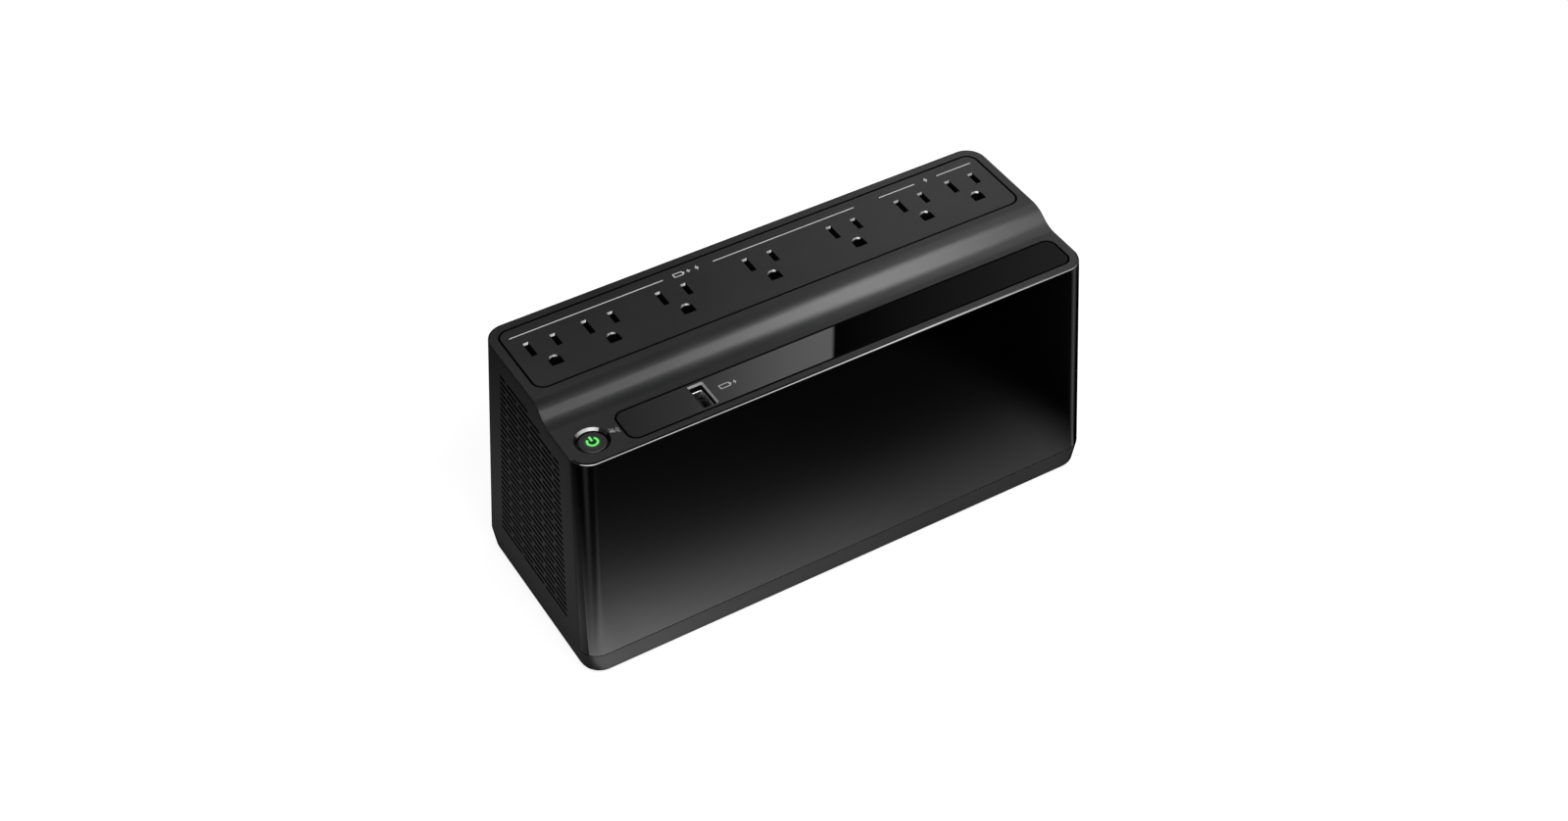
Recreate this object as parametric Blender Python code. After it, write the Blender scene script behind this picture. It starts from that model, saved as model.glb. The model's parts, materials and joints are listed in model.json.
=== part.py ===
"""Desktop uninterruptible power supply with a stepped outlet deck.

Each piece is an object of its own.  Sizes are in millimetres and become metres in the meshes.
The origin is on the ground under the middle of the case, the length runs along X, the
glossy front faces -Y and +Z is up.
"""
import math

import bmesh
import bpy
from mathutils import Matrix, Vector
from mathutils.geometry import tessellate_polygon

for leftover in list(bpy.data.objects):
    bpy.data.objects.remove(leftover, do_unlink=True)

MM = 0.001
GAP = 0.3

# Case outline at the seam between tray and walls, with walls that lean in above it
CASE_LENGTH = 274.0
CASE_DEPTH = 105.0
FOOT_H = 2.5
TRAY_H = 12.0
DECK_H = 131.25
STEP_DROP = 6.6
DRAFT = math.tan(math.radians(3.0))
CORNER_R = 9.7
CORNER_STEPS = 8
END_STEPS = 2
ROUND_STEPS = 24
FINE_STEPS = 32
COARSE_STEPS = 12
BOX_STEPS = 5
WALL = 2.4
TRAY_TUCK = (2.15, 1.5)
TRAY_EDGE = 1.0
TRAY_EDGE_CURVE = ((1.0, 0.0), (0.3, 0.35), (-0.3, 1.4))
EDGE_ROUND = 0.7
EDGE_SEGMENTS = 3
FLAT_TURN = math.radians(0.5)
WALL_LIFT = 0.3
DECK_LIFT = 0.7

TRAY_Z = FOOT_H
SEAM_Z = TRAY_Z + TRAY_H
DECK_Z = TRAY_Z + DECK_H
LOW_Z = DECK_Z - STEP_DROP

# Step between the outlet deck and the lower deck
SWOOP_START = 3.1
SWOOP_R = 13.0
SWOOP_SLOPE = math.radians(35.0)
SWOOP_STEPS = 8

# Wall panels meet where the corner curve starts
SPLIT_DEG = 12.0
COVER_T = 2.4
COVER_LIP = 1.0
FRONT_LIP = 0.9
LIP_STEPS = 4

# Vents in both ends
VENT_FIRST_H = 24.2
VENT_PITCH = 3.31
VENT_ROWS = 30
VENT_SLIT = 1.6
VENT_BRICK = 22.0
VENT_BRIDGE = 2.0
VENT_SIDE = 19.0
VENT_TOP = 11.0
VENT_MIN = 3.0

# Outlet deck
PANEL_SIDE_EDGE = 4.75
PANEL_BACK_EDGE = 4.55
PANEL_SHARE_Y = 0.397
PANEL_R = 5.5
GROOVE = 0.7
INSERT_EDGE = 0.3
INSERT_T = 2.4
OUTLET_SHARES = (-0.878, -0.652, -0.357, 0.0, 0.357, 0.652, 0.878)
BACKED_OUTLETS = 5
OUTLET_FROM_BACK = 16.4
BLADE_HALF = 6.35
SLOT_W = 1.9
NEUTRAL_L = 8.1
LINE_L = 6.6
LEAD_END = 0.95
LEAD_SIDE = 0.45
LEAD_DEPTH = 1.0
GROUND_BACK = 11.5
GROUND_W = 5.2
GROUND_FLAT = 3.3
LEAD_GROUND = (0.45, 0.95, 0.15)
GROUND_STEPS = 10

# Status strip, power button and charging port on the lower deck
STRIP_RIGHT_EDGE = 5.0
STRIP_FRONT_EDGE = 4.7
STRIP_SHARE_Y = 0.175
STRIP_R = 4.7
STRIP_FROM_BUTTON = 14.3
BUTTON_EDGE_X = 13.6
BUTTON_R = 6.6
BUTTON_CLEAR = 0.35
BUTTON_SINK = 1.0
BUTTON_CHAMFER = 1.25
BUTTON_EDGE = 0.5
BUTTON_FLANGE = 1.8
BUTTON_FLANGE_T = 1.2
BUTTON_STEM_R = 2.0
BUTTON_STEM = 4.0
BUTTON_TRAVEL = 1.0
PORT_FROM_STRIP = 39.6
PORT_W = 6.1
PORT_L = 13.6
PORT_BEVEL = 0.85
PORT_COLLAR = 1.2
PORT_COLLAR_T = 1.1
PORT_SHELL = 0.4
PORT_DEPTH = 13.0
TONGUE_T = 1.8
TONGUE_SIDE = 1.6
TONGUE_BASE = 3.0

# Contact rails and brass strips below the outlet deck
RAIL_DEPTH = 20.0
RAIL_EDGE = 1.5
DIVIDER_T = 1.2
STRIP_T = 0.8
LEAF_T = 0.6
LEAF_OPEN = 1.6
LEAF_DROP = 4.0
LEAF_H = 10.0
LEAF_SHORT = 2.2
GROUND_OPEN = 2.8
STRIP_END = 4.0

# Battery and the sliding cover under it
BATTERY_L = 0.551 * CASE_LENGTH
BATTERY_W = 0.619 * CASE_DEPTH
BATTERY_H = 0.716 * DECK_H
BATTERY_R = 1.5
BATTERY_LID = 6.0
BATTERY_LID_IN = 0.8
BATTERY_Y = -0.057 * CASE_DEPTH
BATTERY_END = 24.9
HATCH_CLEAR = 1.5
HATCH_LAP = 3.0
HATCH_T = 1.6
HATCH_SINK = 2.0
HATCH_TRAVEL = 10.0
HATCH_RIBS = 5
HATCH_RIB_L = 30.0
HATCH_RIB_W = 1.6
HATCH_RIB_H = 0.7
HATCH_RIB_PITCH = 4.0
HATCH_RIB_IN = 10.0
TERMINAL_W = 6.3
TERMINAL_T = 0.8
TERMINAL_H = 6.0
TERMINAL_IN = 12.0

# Tray floor, feet, keyholes and posts
FLOOR_T = 2.0
FOOT_R = 5.0
FOOT_X_IN = 10.5
FOOT_Y_IN = 13.0
FOOT_POCKET = 1.0
KEYHOLE_X = 0.33 * CASE_LENGTH
KEYHOLE_EDGE = 12.0
KEYHOLE_R = 4.6
KEYHOLE_SLOT = 2.3
KEYHOLE_L = 9.0
POST_R = 3.5
POST_BORE = 1.2
POST_WEB = 2.0

# Transformer on the left of the battery
CORE_L = 0.24 * CASE_LENGTH
CORE_H = 0.42 * DECK_H
CORE_STACK = 0.32 * CASE_DEPTH
CORE_LEG = CORE_L / 6
CORE_YOKE = CORE_L / 6
CORE_END = 10.0
CORE_LIFT = 7.5
CORE_REAR = 20.0
COIL_BULGE = 9.0
WINDOW_CLEAR = 0.5

# Upright main board with its parts, and the small board under the strip
BOARD_T = 1.6
BOARD_FRONT = 14.0
BOARD_END = 12.0
BOARD_H = 0.655 * DECK_H
BOARD_LIFT = 3.0
BOARD_BATTERY_GAP = 5.0
SINK_SHARE = 0.5
SINK_H = 44.0
SINK_BASE = 3.0
SINK_FIN = 14.0
SINK_FIN_T = 1.6
SINK_FINS = 7
CAP_R = 5.0
CAP_L = 16.0
CAP_SHARE = 0.18
PART_IN = 5.0
RELAY_SHARE = 0.24
RELAY_W = 15.0
RELAY_H = 15.5
BUZZER_R = 6.0
BUZZER_H = 7.0
PART_EDGE = 0.6
SMALL_BOARD_ENDS = (9.5, 13.0)
SWITCH_W = 6.0
SWITCH_H = 3.5

# Fittings in the rear wall above the transformer
FIT_LIFT = 23.0
GLAND_FROM_CORE = -18.0
GLAND_BORE = 4.6
GLAND_R = 7.5
GLAND_FLANGE = 9.5
GLAND_FLANGE_T = 2.2
GLAND_LENGTH = 14.0
BREAKER_FROM_CORE = 9.0
BREAKER_W = 14.0
BREAKER_DEPTH = 18.0
COLLAR_R = 5.2
COLLAR_OUT = 1.9
COLLAR_FLANGE = 6.6
COLLAR_FLANGE_T = 1.4
RESET_R = 3.2
RESET_OUT = 1.3
RESET_TRAVEL = 1.0
FIT_CLEAR = 0.35
JACK_FROM_CORE = 35.0
JACK_W = 16.0
JACK_H = 13.4
JACK_DEPTH = 15.0
JACK_PORT_W = 11.8
JACK_PORT_H = 8.2
JACK_KEY_W = 6.0
JACK_KEY_H = 2.0
JACK_POCKET = 12.5


def finish(name, rgb, rough, metal=0.0):
    """Principled material shared by the pieces made of one stuff."""
    made = bpy.data.materials.new(name)
    made.use_nodes = True
    shader = made.node_tree.nodes["Principled BSDF"]
    shader.inputs["Base Color"].default_value = (*rgb, 1.0)
    shader.inputs["Roughness"].default_value = rough
    shader.inputs["Metallic"].default_value = metal
    return made


CASE = finish("case_plastic", (0.022, 0.022, 0.023), 0.55)
GLOSS = finish("gloss_plastic", (0.006, 0.006, 0.007), 0.08)
BUTTON = finish("button_plastic", (0.03, 0.03, 0.031), 0.45)
INNER = finish("inner_plastic", (0.05, 0.05, 0.052), 0.5)
RUBBER = finish("foot_rubber", (0.015, 0.015, 0.015), 0.9)
BRASS = finish("brass", (0.72, 0.53, 0.22), 0.3, 1.0)
STEEL = finish("shell_steel", (0.62, 0.62, 0.63), 0.28, 1.0)
BOARD = finish("circuit_board", (0.02, 0.14, 0.05), 0.45)
CELL = finish("battery_case", (0.06, 0.06, 0.065), 0.5)
IRON = finish("core_iron", (0.2, 0.2, 0.21), 0.55, 1.0)
COPPER = finish("coil_copper", (0.45, 0.17, 0.07), 0.4, 1.0)
ALLOY = finish("heat_sink_alloy", (0.5, 0.51, 0.52), 0.4, 1.0)
SLEEVE = finish("capacitor_sleeve", (0.03, 0.04, 0.12), 0.35)
RESET = finish("reset_cap", (0.45, 0.03, 0.025), 0.4)


class Shape:
    """Loops of points joined by skirts and closed by caps."""

    def __init__(self):
        self.points = []
        self.faces = []

    def loop(self, points):
        start = len(self.points)
        self.points.extend(points)
        return list(range(start, len(self.points)))

    def skirt(self, low, high):
        count = len(low)
        for i in range(count):
            j = (i + 1) % count
            self.faces.append((low[i], low[j], high[j], high[i]))

    def cap(self, *loops):
        flat = [i for loop in loops for i in loop]
        outlines = [[Vector(self.points[i]) for i in loop] for loop in loops]
        for triangle in tessellate_polygon(outlines):
            self.faces.append(tuple(flat[i] for i in triangle))

    def tower(self, levels):
        """Joins loops one above another and gives back the first and the last."""
        rings = [self.loop(points) for points in levels]
        for low, high in zip(rings, rings[1:]):
            self.skirt(low, high)
        return rings[0], rings[-1]

    def make(self, name, material):
        mesh = bpy.data.meshes.new(name)
        scaled = [(x * MM, y * MM, z * MM) for x, y, z in self.points]
        mesh.from_pydata(scaled, [], self.faces)
        made = bpy.data.objects.new(name, mesh)
        bpy.context.scene.collection.objects.link(made)
        mesh.materials.append(material)
        tidy(made)
        return made


def tidy(piece):
    """Triangles with every face turned outwards."""
    work = bmesh.new()
    work.from_mesh(piece.data)
    bmesh.ops.remove_doubles(work, verts=work.verts, dist=1e-7)
    bmesh.ops.triangulate(work, faces=work.faces)
    bmesh.ops.recalc_face_normals(work, faces=work.faces)
    work.to_mesh(piece.data)
    work.free()


def set_origin(piece, x, y, z):
    """Puts the origin of a moving piece on the line that it slides along."""
    place = Vector((x, y, z)) * MM
    piece.data.transform(Matrix.Translation(-place))
    piece.location = place


def combine(piece, tool, operation):
    """Cuts or trims a piece with a tool that is then thrown away."""
    tool.hide_render = True
    tool.display_type = "WIRE"
    material = piece.data.materials[0]
    name = piece.name
    modifier = piece.modifiers.new("Cut", "BOOLEAN")
    modifier.operation = operation
    modifier.solver = "EXACT"
    modifier.object = tool
    graph = bpy.context.evaluated_depsgraph_get()
    mesh = bpy.data.meshes.new_from_object(piece.evaluated_get(graph))
    piece.modifiers.clear()
    stale = piece.data
    piece.data = mesh
    bpy.data.meshes.remove(stale)
    bpy.data.objects.remove(tool, do_unlink=True)
    mesh.name = name
    mesh.materials.clear()
    mesh.materials.append(material)
    tidy(piece)


def half_x(z):
    return CASE_LENGTH / 2 - DRAFT * (z - SEAM_Z)


def half_y(z):
    return CASE_DEPTH / 2 - DRAFT * (z - SEAM_Z)


# Places of the inserts, the outlets and the rear fittings
PANEL_HALF_X = half_x(DECK_Z) - PANEL_SIDE_EDGE
PANEL_LENGTH_Y = PANEL_SHARE_Y * CASE_DEPTH
PANEL_BACK = half_y(DECK_Z) - PANEL_BACK_EDGE
PANEL_Y = PANEL_BACK - PANEL_LENGTH_Y / 2
SWOOP_Y = PANEL_BACK - PANEL_LENGTH_Y - SWOOP_START
OUTLET_X = [share * PANEL_HALF_X for share in OUTLET_SHARES]
SLOT_Y = PANEL_BACK - OUTLET_FROM_BACK
GROUND_Y = SLOT_Y - GROUND_BACK
STRIP_W = STRIP_SHARE_Y * CASE_DEPTH
STRIP_Y = -half_y(LOW_Z) + STRIP_FRONT_EDGE + STRIP_W / 2
BUTTON_X = -half_x(LOW_Z) + BUTTON_EDGE_X
BUTTON_Y = STRIP_Y - GAP
STRIP_LEFT = BUTTON_X + STRIP_FROM_BUTTON
STRIP_RIGHT = half_x(LOW_Z) - STRIP_RIGHT_EDGE
STRIP_X = (STRIP_LEFT + STRIP_RIGHT) / 2
STRIP_L = STRIP_RIGHT - STRIP_LEFT
PORT_X = STRIP_LEFT + PORT_FROM_STRIP
PORT_Y = STRIP_Y
HATCH_TOP = TRAY_Z + HATCH_SINK
FLOOR_TOP = HATCH_TOP + FLOOR_T
CORE_X = -half_x(TRAY_Z) + CORE_END + CORE_L / 2
CORE_Y = half_y(TRAY_Z) - CORE_REAR - CORE_STACK / 2
CORE_Z = FLOOR_TOP + CORE_LIFT
FIT_Z = CORE_Z + CORE_H + FIT_LIFT
GLAND_X = CORE_X + GLAND_FROM_CORE
BREAKER_X = CORE_X + BREAKER_FROM_CORE
JACK_X = CORE_X + JACK_FROM_CORE

# Corners of the outline and the directions, in degrees, that its arcs turn to
FRONT_RIGHT = (1, -1)
REAR_RIGHT = (1, 1)
REAR_LEFT = (-1, 1)
FRONT_LEFT = (-1, -1)
TO_RIGHT = 0
TO_REAR = 90
TO_LEFT = 180
TO_FRONT = 270
TURN = 360


def rim_point(corner, degrees, z, inset, tuck=(0.0, 0.0)):
    """Point of the case outline on a corner arc, moved in by inset; tuck moves the centre of the arc."""
    turn = math.radians(degrees)
    reach = CORNER_R - inset
    x = corner[0] * (half_x(z) - CORNER_R - tuck[0]) + reach * math.cos(turn)
    y = corner[1] * (half_y(z) - CORNER_R - tuck[1]) + reach * math.sin(turn)
    return (x, y, z)


def arc(corner, start, stop, steps=CORNER_STEPS):
    return [(corner, start + (stop - start) * i / steps) for i in range(steps + 1)]


WHOLE_RIM = (arc(FRONT_RIGHT, TO_FRONT - TURN, TO_RIGHT) + arc(REAR_RIGHT, TO_RIGHT, TO_REAR)
             + arc(REAR_LEFT, TO_REAR, TO_LEFT) + arc(FRONT_LEFT, TO_LEFT, TO_FRONT))


def rim(z, inset, tuck=(0.0, 0.0)):
    return [rim_point(corner, turn, z, inset, tuck) for corner, turn in WHOLE_RIM]


def box_loop(x, y, width, length):
    w = width / 2
    d = length / 2
    return [(x - w, y - d), (x + w, y - d), (x + w, y + d), (x - w, y + d)]


def round_box(x, y, width, length, radius, steps=BOX_STEPS):
    loop = []
    for sx, sy, start in ((1, -1, TO_FRONT), (1, 1, TO_RIGHT), (-1, 1, TO_REAR), (-1, -1, TO_LEFT)):
        for i in range(steps + 1):
            turn = math.radians(start) + math.pi / 2 * i / steps
            loop.append((x + sx * (width / 2 - radius) + radius * math.cos(turn),
                         y + sy * (length / 2 - radius) + radius * math.sin(turn)))
    return loop


def circle(x, y, radius, steps=ROUND_STEPS):
    turns = [2 * math.pi * i / steps for i in range(steps)]
    return [(x + radius * math.cos(t), y + radius * math.sin(t)) for t in turns]


def along_z(loop, z):
    return [(u, v, z) for u, v in loop]


def along_y(loop, y):
    return [(u, y, v) for u, v in loop]


def along_x(loop, x):
    return [(x, u, v) for u, v in loop]


def solid(name, material, outer, holes=(), pockets=()):
    """Closed piece from outer levels, holes right through and pockets from the last level."""
    shape = Shape()
    first, last = shape.tower(outer)
    firsts = [first]
    lasts = [last]
    for levels in holes:
        low, high = shape.tower(levels)
        firsts.append(low)
        lasts.append(high)
    for levels in pockets:
        low, high = shape.tower(levels)
        shape.cap(low)
        lasts.append(high)
    shape.cap(*firsts)
    shape.cap(*lasts)
    return shape.make(name, material)


def block(name, material, x, y, z):
    """Box between two x, two y and two z."""
    loop = box_loop((x[0] + x[1]) / 2, (y[0] + y[1]) / 2, x[1] - x[0], y[1] - y[0])
    return solid(name, material, [along_z(loop, z[0]), along_z(loop, z[1])])


def step_profile(drop=0.0):
    """Deck line from the back to the front as (y, z), lowered by drop."""
    fall = DECK_Z - LOW_Z
    bend = SWOOP_R * (1 - math.cos(SWOOP_SLOPE))
    straight = max((fall - 2 * bend) / math.sin(SWOOP_SLOPE), GAP)
    line = []
    for i in range(SWOOP_STEPS + 1):
        turn = SWOOP_SLOPE * i / SWOOP_STEPS
        line.append((SWOOP_Y - SWOOP_R * math.sin(turn), DECK_Z - SWOOP_R * (1 - math.cos(turn))))
    foot_y = line[-1][0] - straight * math.cos(SWOOP_SLOPE) - SWOOP_R * math.sin(SWOOP_SLOPE)
    for i in range(SWOOP_STEPS + 1):
        turn = SWOOP_SLOPE * (1 - i / SWOOP_STEPS)
        line.append((foot_y + SWOOP_R * math.sin(turn), LOW_Z + SWOOP_R * (1 - math.cos(turn))))
    far = CASE_DEPTH
    line = [(far, DECK_Z)] + line + [(-far, LOW_Z)]
    return [(y, z - drop) for y, z in line]


def deck_height(y):
    line = step_profile()
    for (y0, z0), (y1, z1) in zip(line, line[1:]):
        if y1 <= y <= y0:
            return z0 + (z1 - z0) * (y0 - y) / (y0 - y1)
    return LOW_Z


def profile_prism(name, top, bottom):
    """Bar along X between an upper and a lower line, longer than the case."""
    loop = top + bottom[::-1]
    far = CASE_LENGTH
    return solid(name, CASE, [along_x(loop, -far), along_x(loop, far)])


def plan_prism(name, outline):
    """Leaning post through the whole deck; outline(z) gives its loop."""
    return solid(name, CASE, [outline(LOW_Z - 4 * CORNER_R), outline(DECK_Z + CORNER_R)])


def wall_panel(name, material, path, profile):
    """Sweeps a closed (inset, z) profile along part of the case outline."""
    shape = Shape()
    columns = []
    for corner, turn in path:
        columns.append(shape.loop([rim_point(corner, turn, z, inset) for inset, z in profile]))
    for near, far in zip(columns, columns[1:]):
        shape.skirt(near, far)
    shape.cap(columns[0])
    shape.cap(columns[-1])
    return shape.make(name, material)


# Walls
SPLIT_GAP = math.degrees(GAP / 2 / CORNER_R)
WALL_FOOT = SEAM_Z + GAP / 2
WALL_TOP = DECK_Z - COVER_LIP - GAP
PLAIN_WALL = [(0, WALL_FOOT), (0, WALL_TOP), (WALL, WALL_TOP), (WALL, WALL_FOOT)]


def front_panel():
    """Glossy front that turns both corners, with a rounded lip beside the deck."""
    lip = []
    for i in range(LIP_STEPS + 1):
        turn = math.pi / 2 * i / LIP_STEPS
        lip.append((FRONT_LIP * (1 - math.cos(turn)), LOW_Z - FRONT_LIP * (1 - math.sin(turn))))
    seat = LOW_Z - COVER_LIP - GAP
    profile = [(0, WALL_FOOT)] + lip + [(FRONT_LIP, seat), (WALL, seat), (WALL, WALL_FOOT)]
    split = SPLIT_DEG + SPLIT_GAP
    path = arc(FRONT_LEFT, TO_LEFT + split, TO_FRONT) + arc(FRONT_RIGHT, TO_FRONT, TURN - split)
    return wall_panel("front_panel", GLOSS, path, profile)


def vent_slits(z):
    """Stretches of one row of slits, with bridges laid like bricks."""
    row = round((z - TRAY_Z - VENT_FIRST_H) / VENT_PITCH)
    rear = half_y(z) - VENT_SIDE
    front = -rear
    while deck_height(front) - z < VENT_TOP and front < rear:
        front += VENT_BRIDGE / 4
    shift = 0.0 if row % 2 else VENT_BRICK / 2
    bridges = [shift + VENT_BRICK * i for i in range(-3, 4)]
    edges = [front] + [b for b in bridges if front < b < rear] + [rear]
    stretches = []
    for low, high in zip(edges, edges[1:]):
        low += VENT_BRIDGE / 2 if low in bridges else 0.0
        high -= VENT_BRIDGE / 2 if high in bridges else 0.0
        if high - low > VENT_MIN:
            stretches.append((low, high))
    return stretches


def end_panel(name, side):
    """Flat end wall under the stepped cover, cut through by rows of slits."""
    turn = SPLIT_DEG - SPLIT_GAP
    if side < 0:
        path = arc(REAR_LEFT, TO_LEFT - turn, TO_LEFT, END_STEPS)
        path += arc(FRONT_LEFT, TO_LEFT, TO_LEFT + turn, END_STEPS)
    else:
        path = arc(FRONT_RIGHT, TO_RIGHT - turn, TO_RIGHT, END_STEPS)
        path += arc(REAR_RIGHT, TO_RIGHT, TO_RIGHT + turn, END_STEPS)
    piece = wall_panel(name, CASE, path, PLAIN_WALL)
    seat = step_profile(COVER_LIP + GAP)
    above = [(y, DECK_Z + CORNER_R) for y, z in (seat[0], seat[-1])]
    combine(piece, profile_prism("seat_cut", above, seat), "DIFFERENCE")
    shape = Shape()
    for row in range(VENT_ROWS):
        z = TRAY_Z + VENT_FIRST_H + VENT_PITCH * row
        x = side * half_x(z)
        for low, high in vent_slits(z):
            loop = box_loop(x, (low + high) / 2, 4 * WALL, high - low)
            first, last = shape.tower([along_z(loop, z - VENT_SLIT / 2), along_z(loop, z + VENT_SLIT / 2)])
            shape.cap(first)
            shape.cap(last)
    combine(piece, shape.make("slit_cut", CASE), "DIFFERENCE")
    return piece


def rear_panel():
    """Rear wall that turns both corners, with holes for the fittings."""
    split = SPLIT_DEG + SPLIT_GAP
    path = arc(REAR_RIGHT, TO_RIGHT + split, TO_REAR) + arc(REAR_LEFT, TO_REAR, TO_LEFT - split)
    piece = wall_panel("rear_panel", CASE, path, PLAIN_WALL)
    span = (half_y(FIT_Z) - 4 * WALL, half_y(FIT_Z) + 4 * WALL)
    loops = [circle(GLAND_X, FIT_Z, GLAND_R + FIT_CLEAR),
             circle(BREAKER_X, FIT_Z, COLLAR_R + FIT_CLEAR),
             box_loop(JACK_X, FIT_Z, JACK_W + 2 * FIT_CLEAR, JACK_H + 2 * FIT_CLEAR)]
    for loop in loops:
        tool = solid("fitting_cut", CASE, [along_y(loop, span[0]), along_y(loop, span[1])])
        combine(piece, tool, "DIFFERENCE")
    return piece


def panel_outline(grow):
    return round_box(0, PANEL_Y, 2 * PANEL_HALF_X + 2 * grow, PANEL_LENGTH_Y + 2 * grow, PANEL_R + grow)


def strip_outline(grow):
    return round_box(STRIP_X, STRIP_Y, STRIP_L + 2 * grow, STRIP_W + 2 * grow, STRIP_R + grow)


def cover_outline(z):
    """Case outline, set back behind the lip of the glossy front."""
    back = FRONT_LIP + GAP
    split = TO_LEFT + SPLIT_DEG
    rear = arc(FRONT_RIGHT, TO_RIGHT - SPLIT_DEG, TO_RIGHT, END_STEPS)
    rear += arc(REAR_RIGHT, TO_RIGHT, TO_REAR) + arc(REAR_LEFT, TO_REAR, TO_LEFT)
    rear += arc(FRONT_LEFT, TO_LEFT, split, END_STEPS)
    front = arc(FRONT_LEFT, split, TO_FRONT) + arc(FRONT_RIGHT, TO_FRONT, TURN - SPLIT_DEG)
    loop = [rim_point(corner, turn, z, 0) for corner, turn in rear]
    return loop + [rim_point(corner, turn, z, back) for corner, turn in front]


def outline_depth(point):
    """How far a point lies inside the case outline at its height."""
    x, y, z = (value / MM for value in point)
    dx = abs(x) - half_x(z) + CORNER_R
    dy = abs(y) - half_y(z) + CORNER_R
    out = math.hypot(max(dx, 0.0), max(dy, 0.0)) + min(max(dx, dy), 0.0)
    return CORNER_R - out


def round_outer_edge(piece):
    """Rounds the upper edge that runs round the outside of the cover."""
    work = bmesh.new()
    work.from_mesh(piece.data)
    bmesh.ops.dissolve_limit(work, angle_limit=FLAT_TURN, verts=work.verts, edges=work.edges)
    chosen = []
    for edge in work.edges:
        lifts = sorted(face.normal.z for face in edge.link_faces)
        outside = max(outline_depth(vert.co) for vert in edge.verts) < FRONT_LIP
        if len(lifts) == 2 and outside and abs(lifts[0]) < WALL_LIFT and lifts[1] > DECK_LIFT:
            chosen.append(edge)
    bmesh.ops.bevel(work, geom=chosen, offset=EDGE_ROUND * MM, segments=EDGE_SEGMENTS, profile=0.5,
                    affect="EDGES", clamp_overlap=True)
    work.to_mesh(piece.data)
    work.free()
    tidy(piece)


def top_cover():
    """Deck with its smooth step; a thin lip covers the walls and the rest drops between them."""
    piece = profile_prism("top_cover", step_profile(), step_profile(COVER_T))
    combine(piece, plan_prism("cover_trim", cover_outline), "INTERSECT")
    lower = step_profile(COVER_LIP)
    below = [(y, LOW_Z - 3 * CORNER_R) for y, z in (lower[0], lower[-1])]
    rebate = profile_prism("rebate_cut", lower, below)
    combine(rebate, plan_prism("rebate_core", lambda z: rim(z, WALL + GAP)), "DIFFERENCE")
    combine(piece, rebate, "DIFFERENCE")
    round_outer_edge(piece)
    span = (LOW_Z - CORNER_R, DECK_Z + CORNER_R)
    for loop in (panel_outline(GROOVE / 2), strip_outline(GROOVE / 2)):
        tool = solid("insert_cut", CASE, [along_z(loop, span[0]), along_z(loop, span[1])])
        combine(piece, tool, "DIFFERENCE")
    bore = BUTTON_R + BUTTON_CLEAR
    flare = bore + 2 * BUTTON_CHAMFER
    levels = [(bore, span[0]), (bore, LOW_Z - BUTTON_CHAMFER), (flare, LOW_Z + BUTTON_CHAMFER)]
    loops = [along_z(circle(BUTTON_X, BUTTON_Y, r, FINE_STEPS), z) for r, z in levels]
    combine(piece, solid("button_cut", CASE, loops), "DIFFERENCE")
    return piece


# Outlets
def ground_loop(x, side, back, front):
    """Round towards the slots and flat towards the front, grown by its own amount each way."""
    across = GROUND_W / 2 + side
    along = GROUND_W / 2 + back
    flat = GROUND_Y - GROUND_FLAT - front
    loop = [(x - across, flat), (x + across, flat)]
    for i in range(GROUND_STEPS + 1):
        turn = math.pi * i / GROUND_STEPS
        loop.append((x + across * math.cos(turn), GROUND_Y + along * math.sin(turn)))
    return loop


def outlet_panel():
    """Plate with seven outlets, each with two lead-in slots and a ground hole."""
    under = DECK_Z - INSERT_T
    neck = DECK_Z - LEAD_DEPTH
    outer = [along_z(panel_outline(-GROOVE / 2), under),
             along_z(panel_outline(-GROOVE / 2), DECK_Z - INSERT_EDGE),
             along_z(panel_outline(-GROOVE / 2 - INSERT_EDGE), DECK_Z)]
    holes = []
    for x in OUTLET_X:
        for side, length in ((-1, NEUTRAL_L), (1, LINE_L)):
            tight = box_loop(x + side * BLADE_HALF, SLOT_Y, SLOT_W, length)
            wide = box_loop(x + side * BLADE_HALF, SLOT_Y, SLOT_W + 2 * LEAD_SIDE, length + 2 * LEAD_END)
            holes.append([along_z(tight, under), along_z(tight, neck), along_z(wide, DECK_Z)])
        tight = ground_loop(x, 0, 0, 0)
        wide = ground_loop(x, *LEAD_GROUND)
        holes.append([along_z(tight, under), along_z(tight, neck), along_z(wide, DECK_Z)])
    return solid("outlet_panel", CASE, outer, holes)


RAIL_TOP = DECK_Z - INSERT_T - GAP
RAIL_FOOT = RAIL_TOP - RAIL_DEPTH
RAIL_X = (-PANEL_HALF_X + RAIL_EDGE, PANEL_HALF_X - RAIL_EDGE)
NEUTRAL_SPINE = SLOT_Y + NEUTRAL_L / 2 + LEAF_SHORT
LINE_SPINE = SLOT_Y - NEUTRAL_L / 2 - LEAF_SHORT
GROUND_SPINE = GROUND_Y - GROUND_FLAT - LEAF_SHORT
DIVIDER_Y = LINE_SPINE - STRIP_T - GAP - DIVIDER_T


def contact_rails():
    """Bars under the outlet plate that hold the brass strips between them."""
    z = (RAIL_FOOT, RAIL_TOP)
    front = PANEL_Y - PANEL_LENGTH_Y / 2 + RAIL_EDGE
    block("contact_rail_front", INNER, RAIL_X, (front, GROUND_SPINE - STRIP_T - GAP), z)
    block("contact_divider", INNER, RAIL_X, (DIVIDER_Y, DIVIDER_Y + DIVIDER_T), z)
    block("contact_rail_rear", INNER, RAIL_X, (NEUTRAL_SPINE + STRIP_T + GAP, PANEL_BACK - RAIL_EDGE), z)


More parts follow.
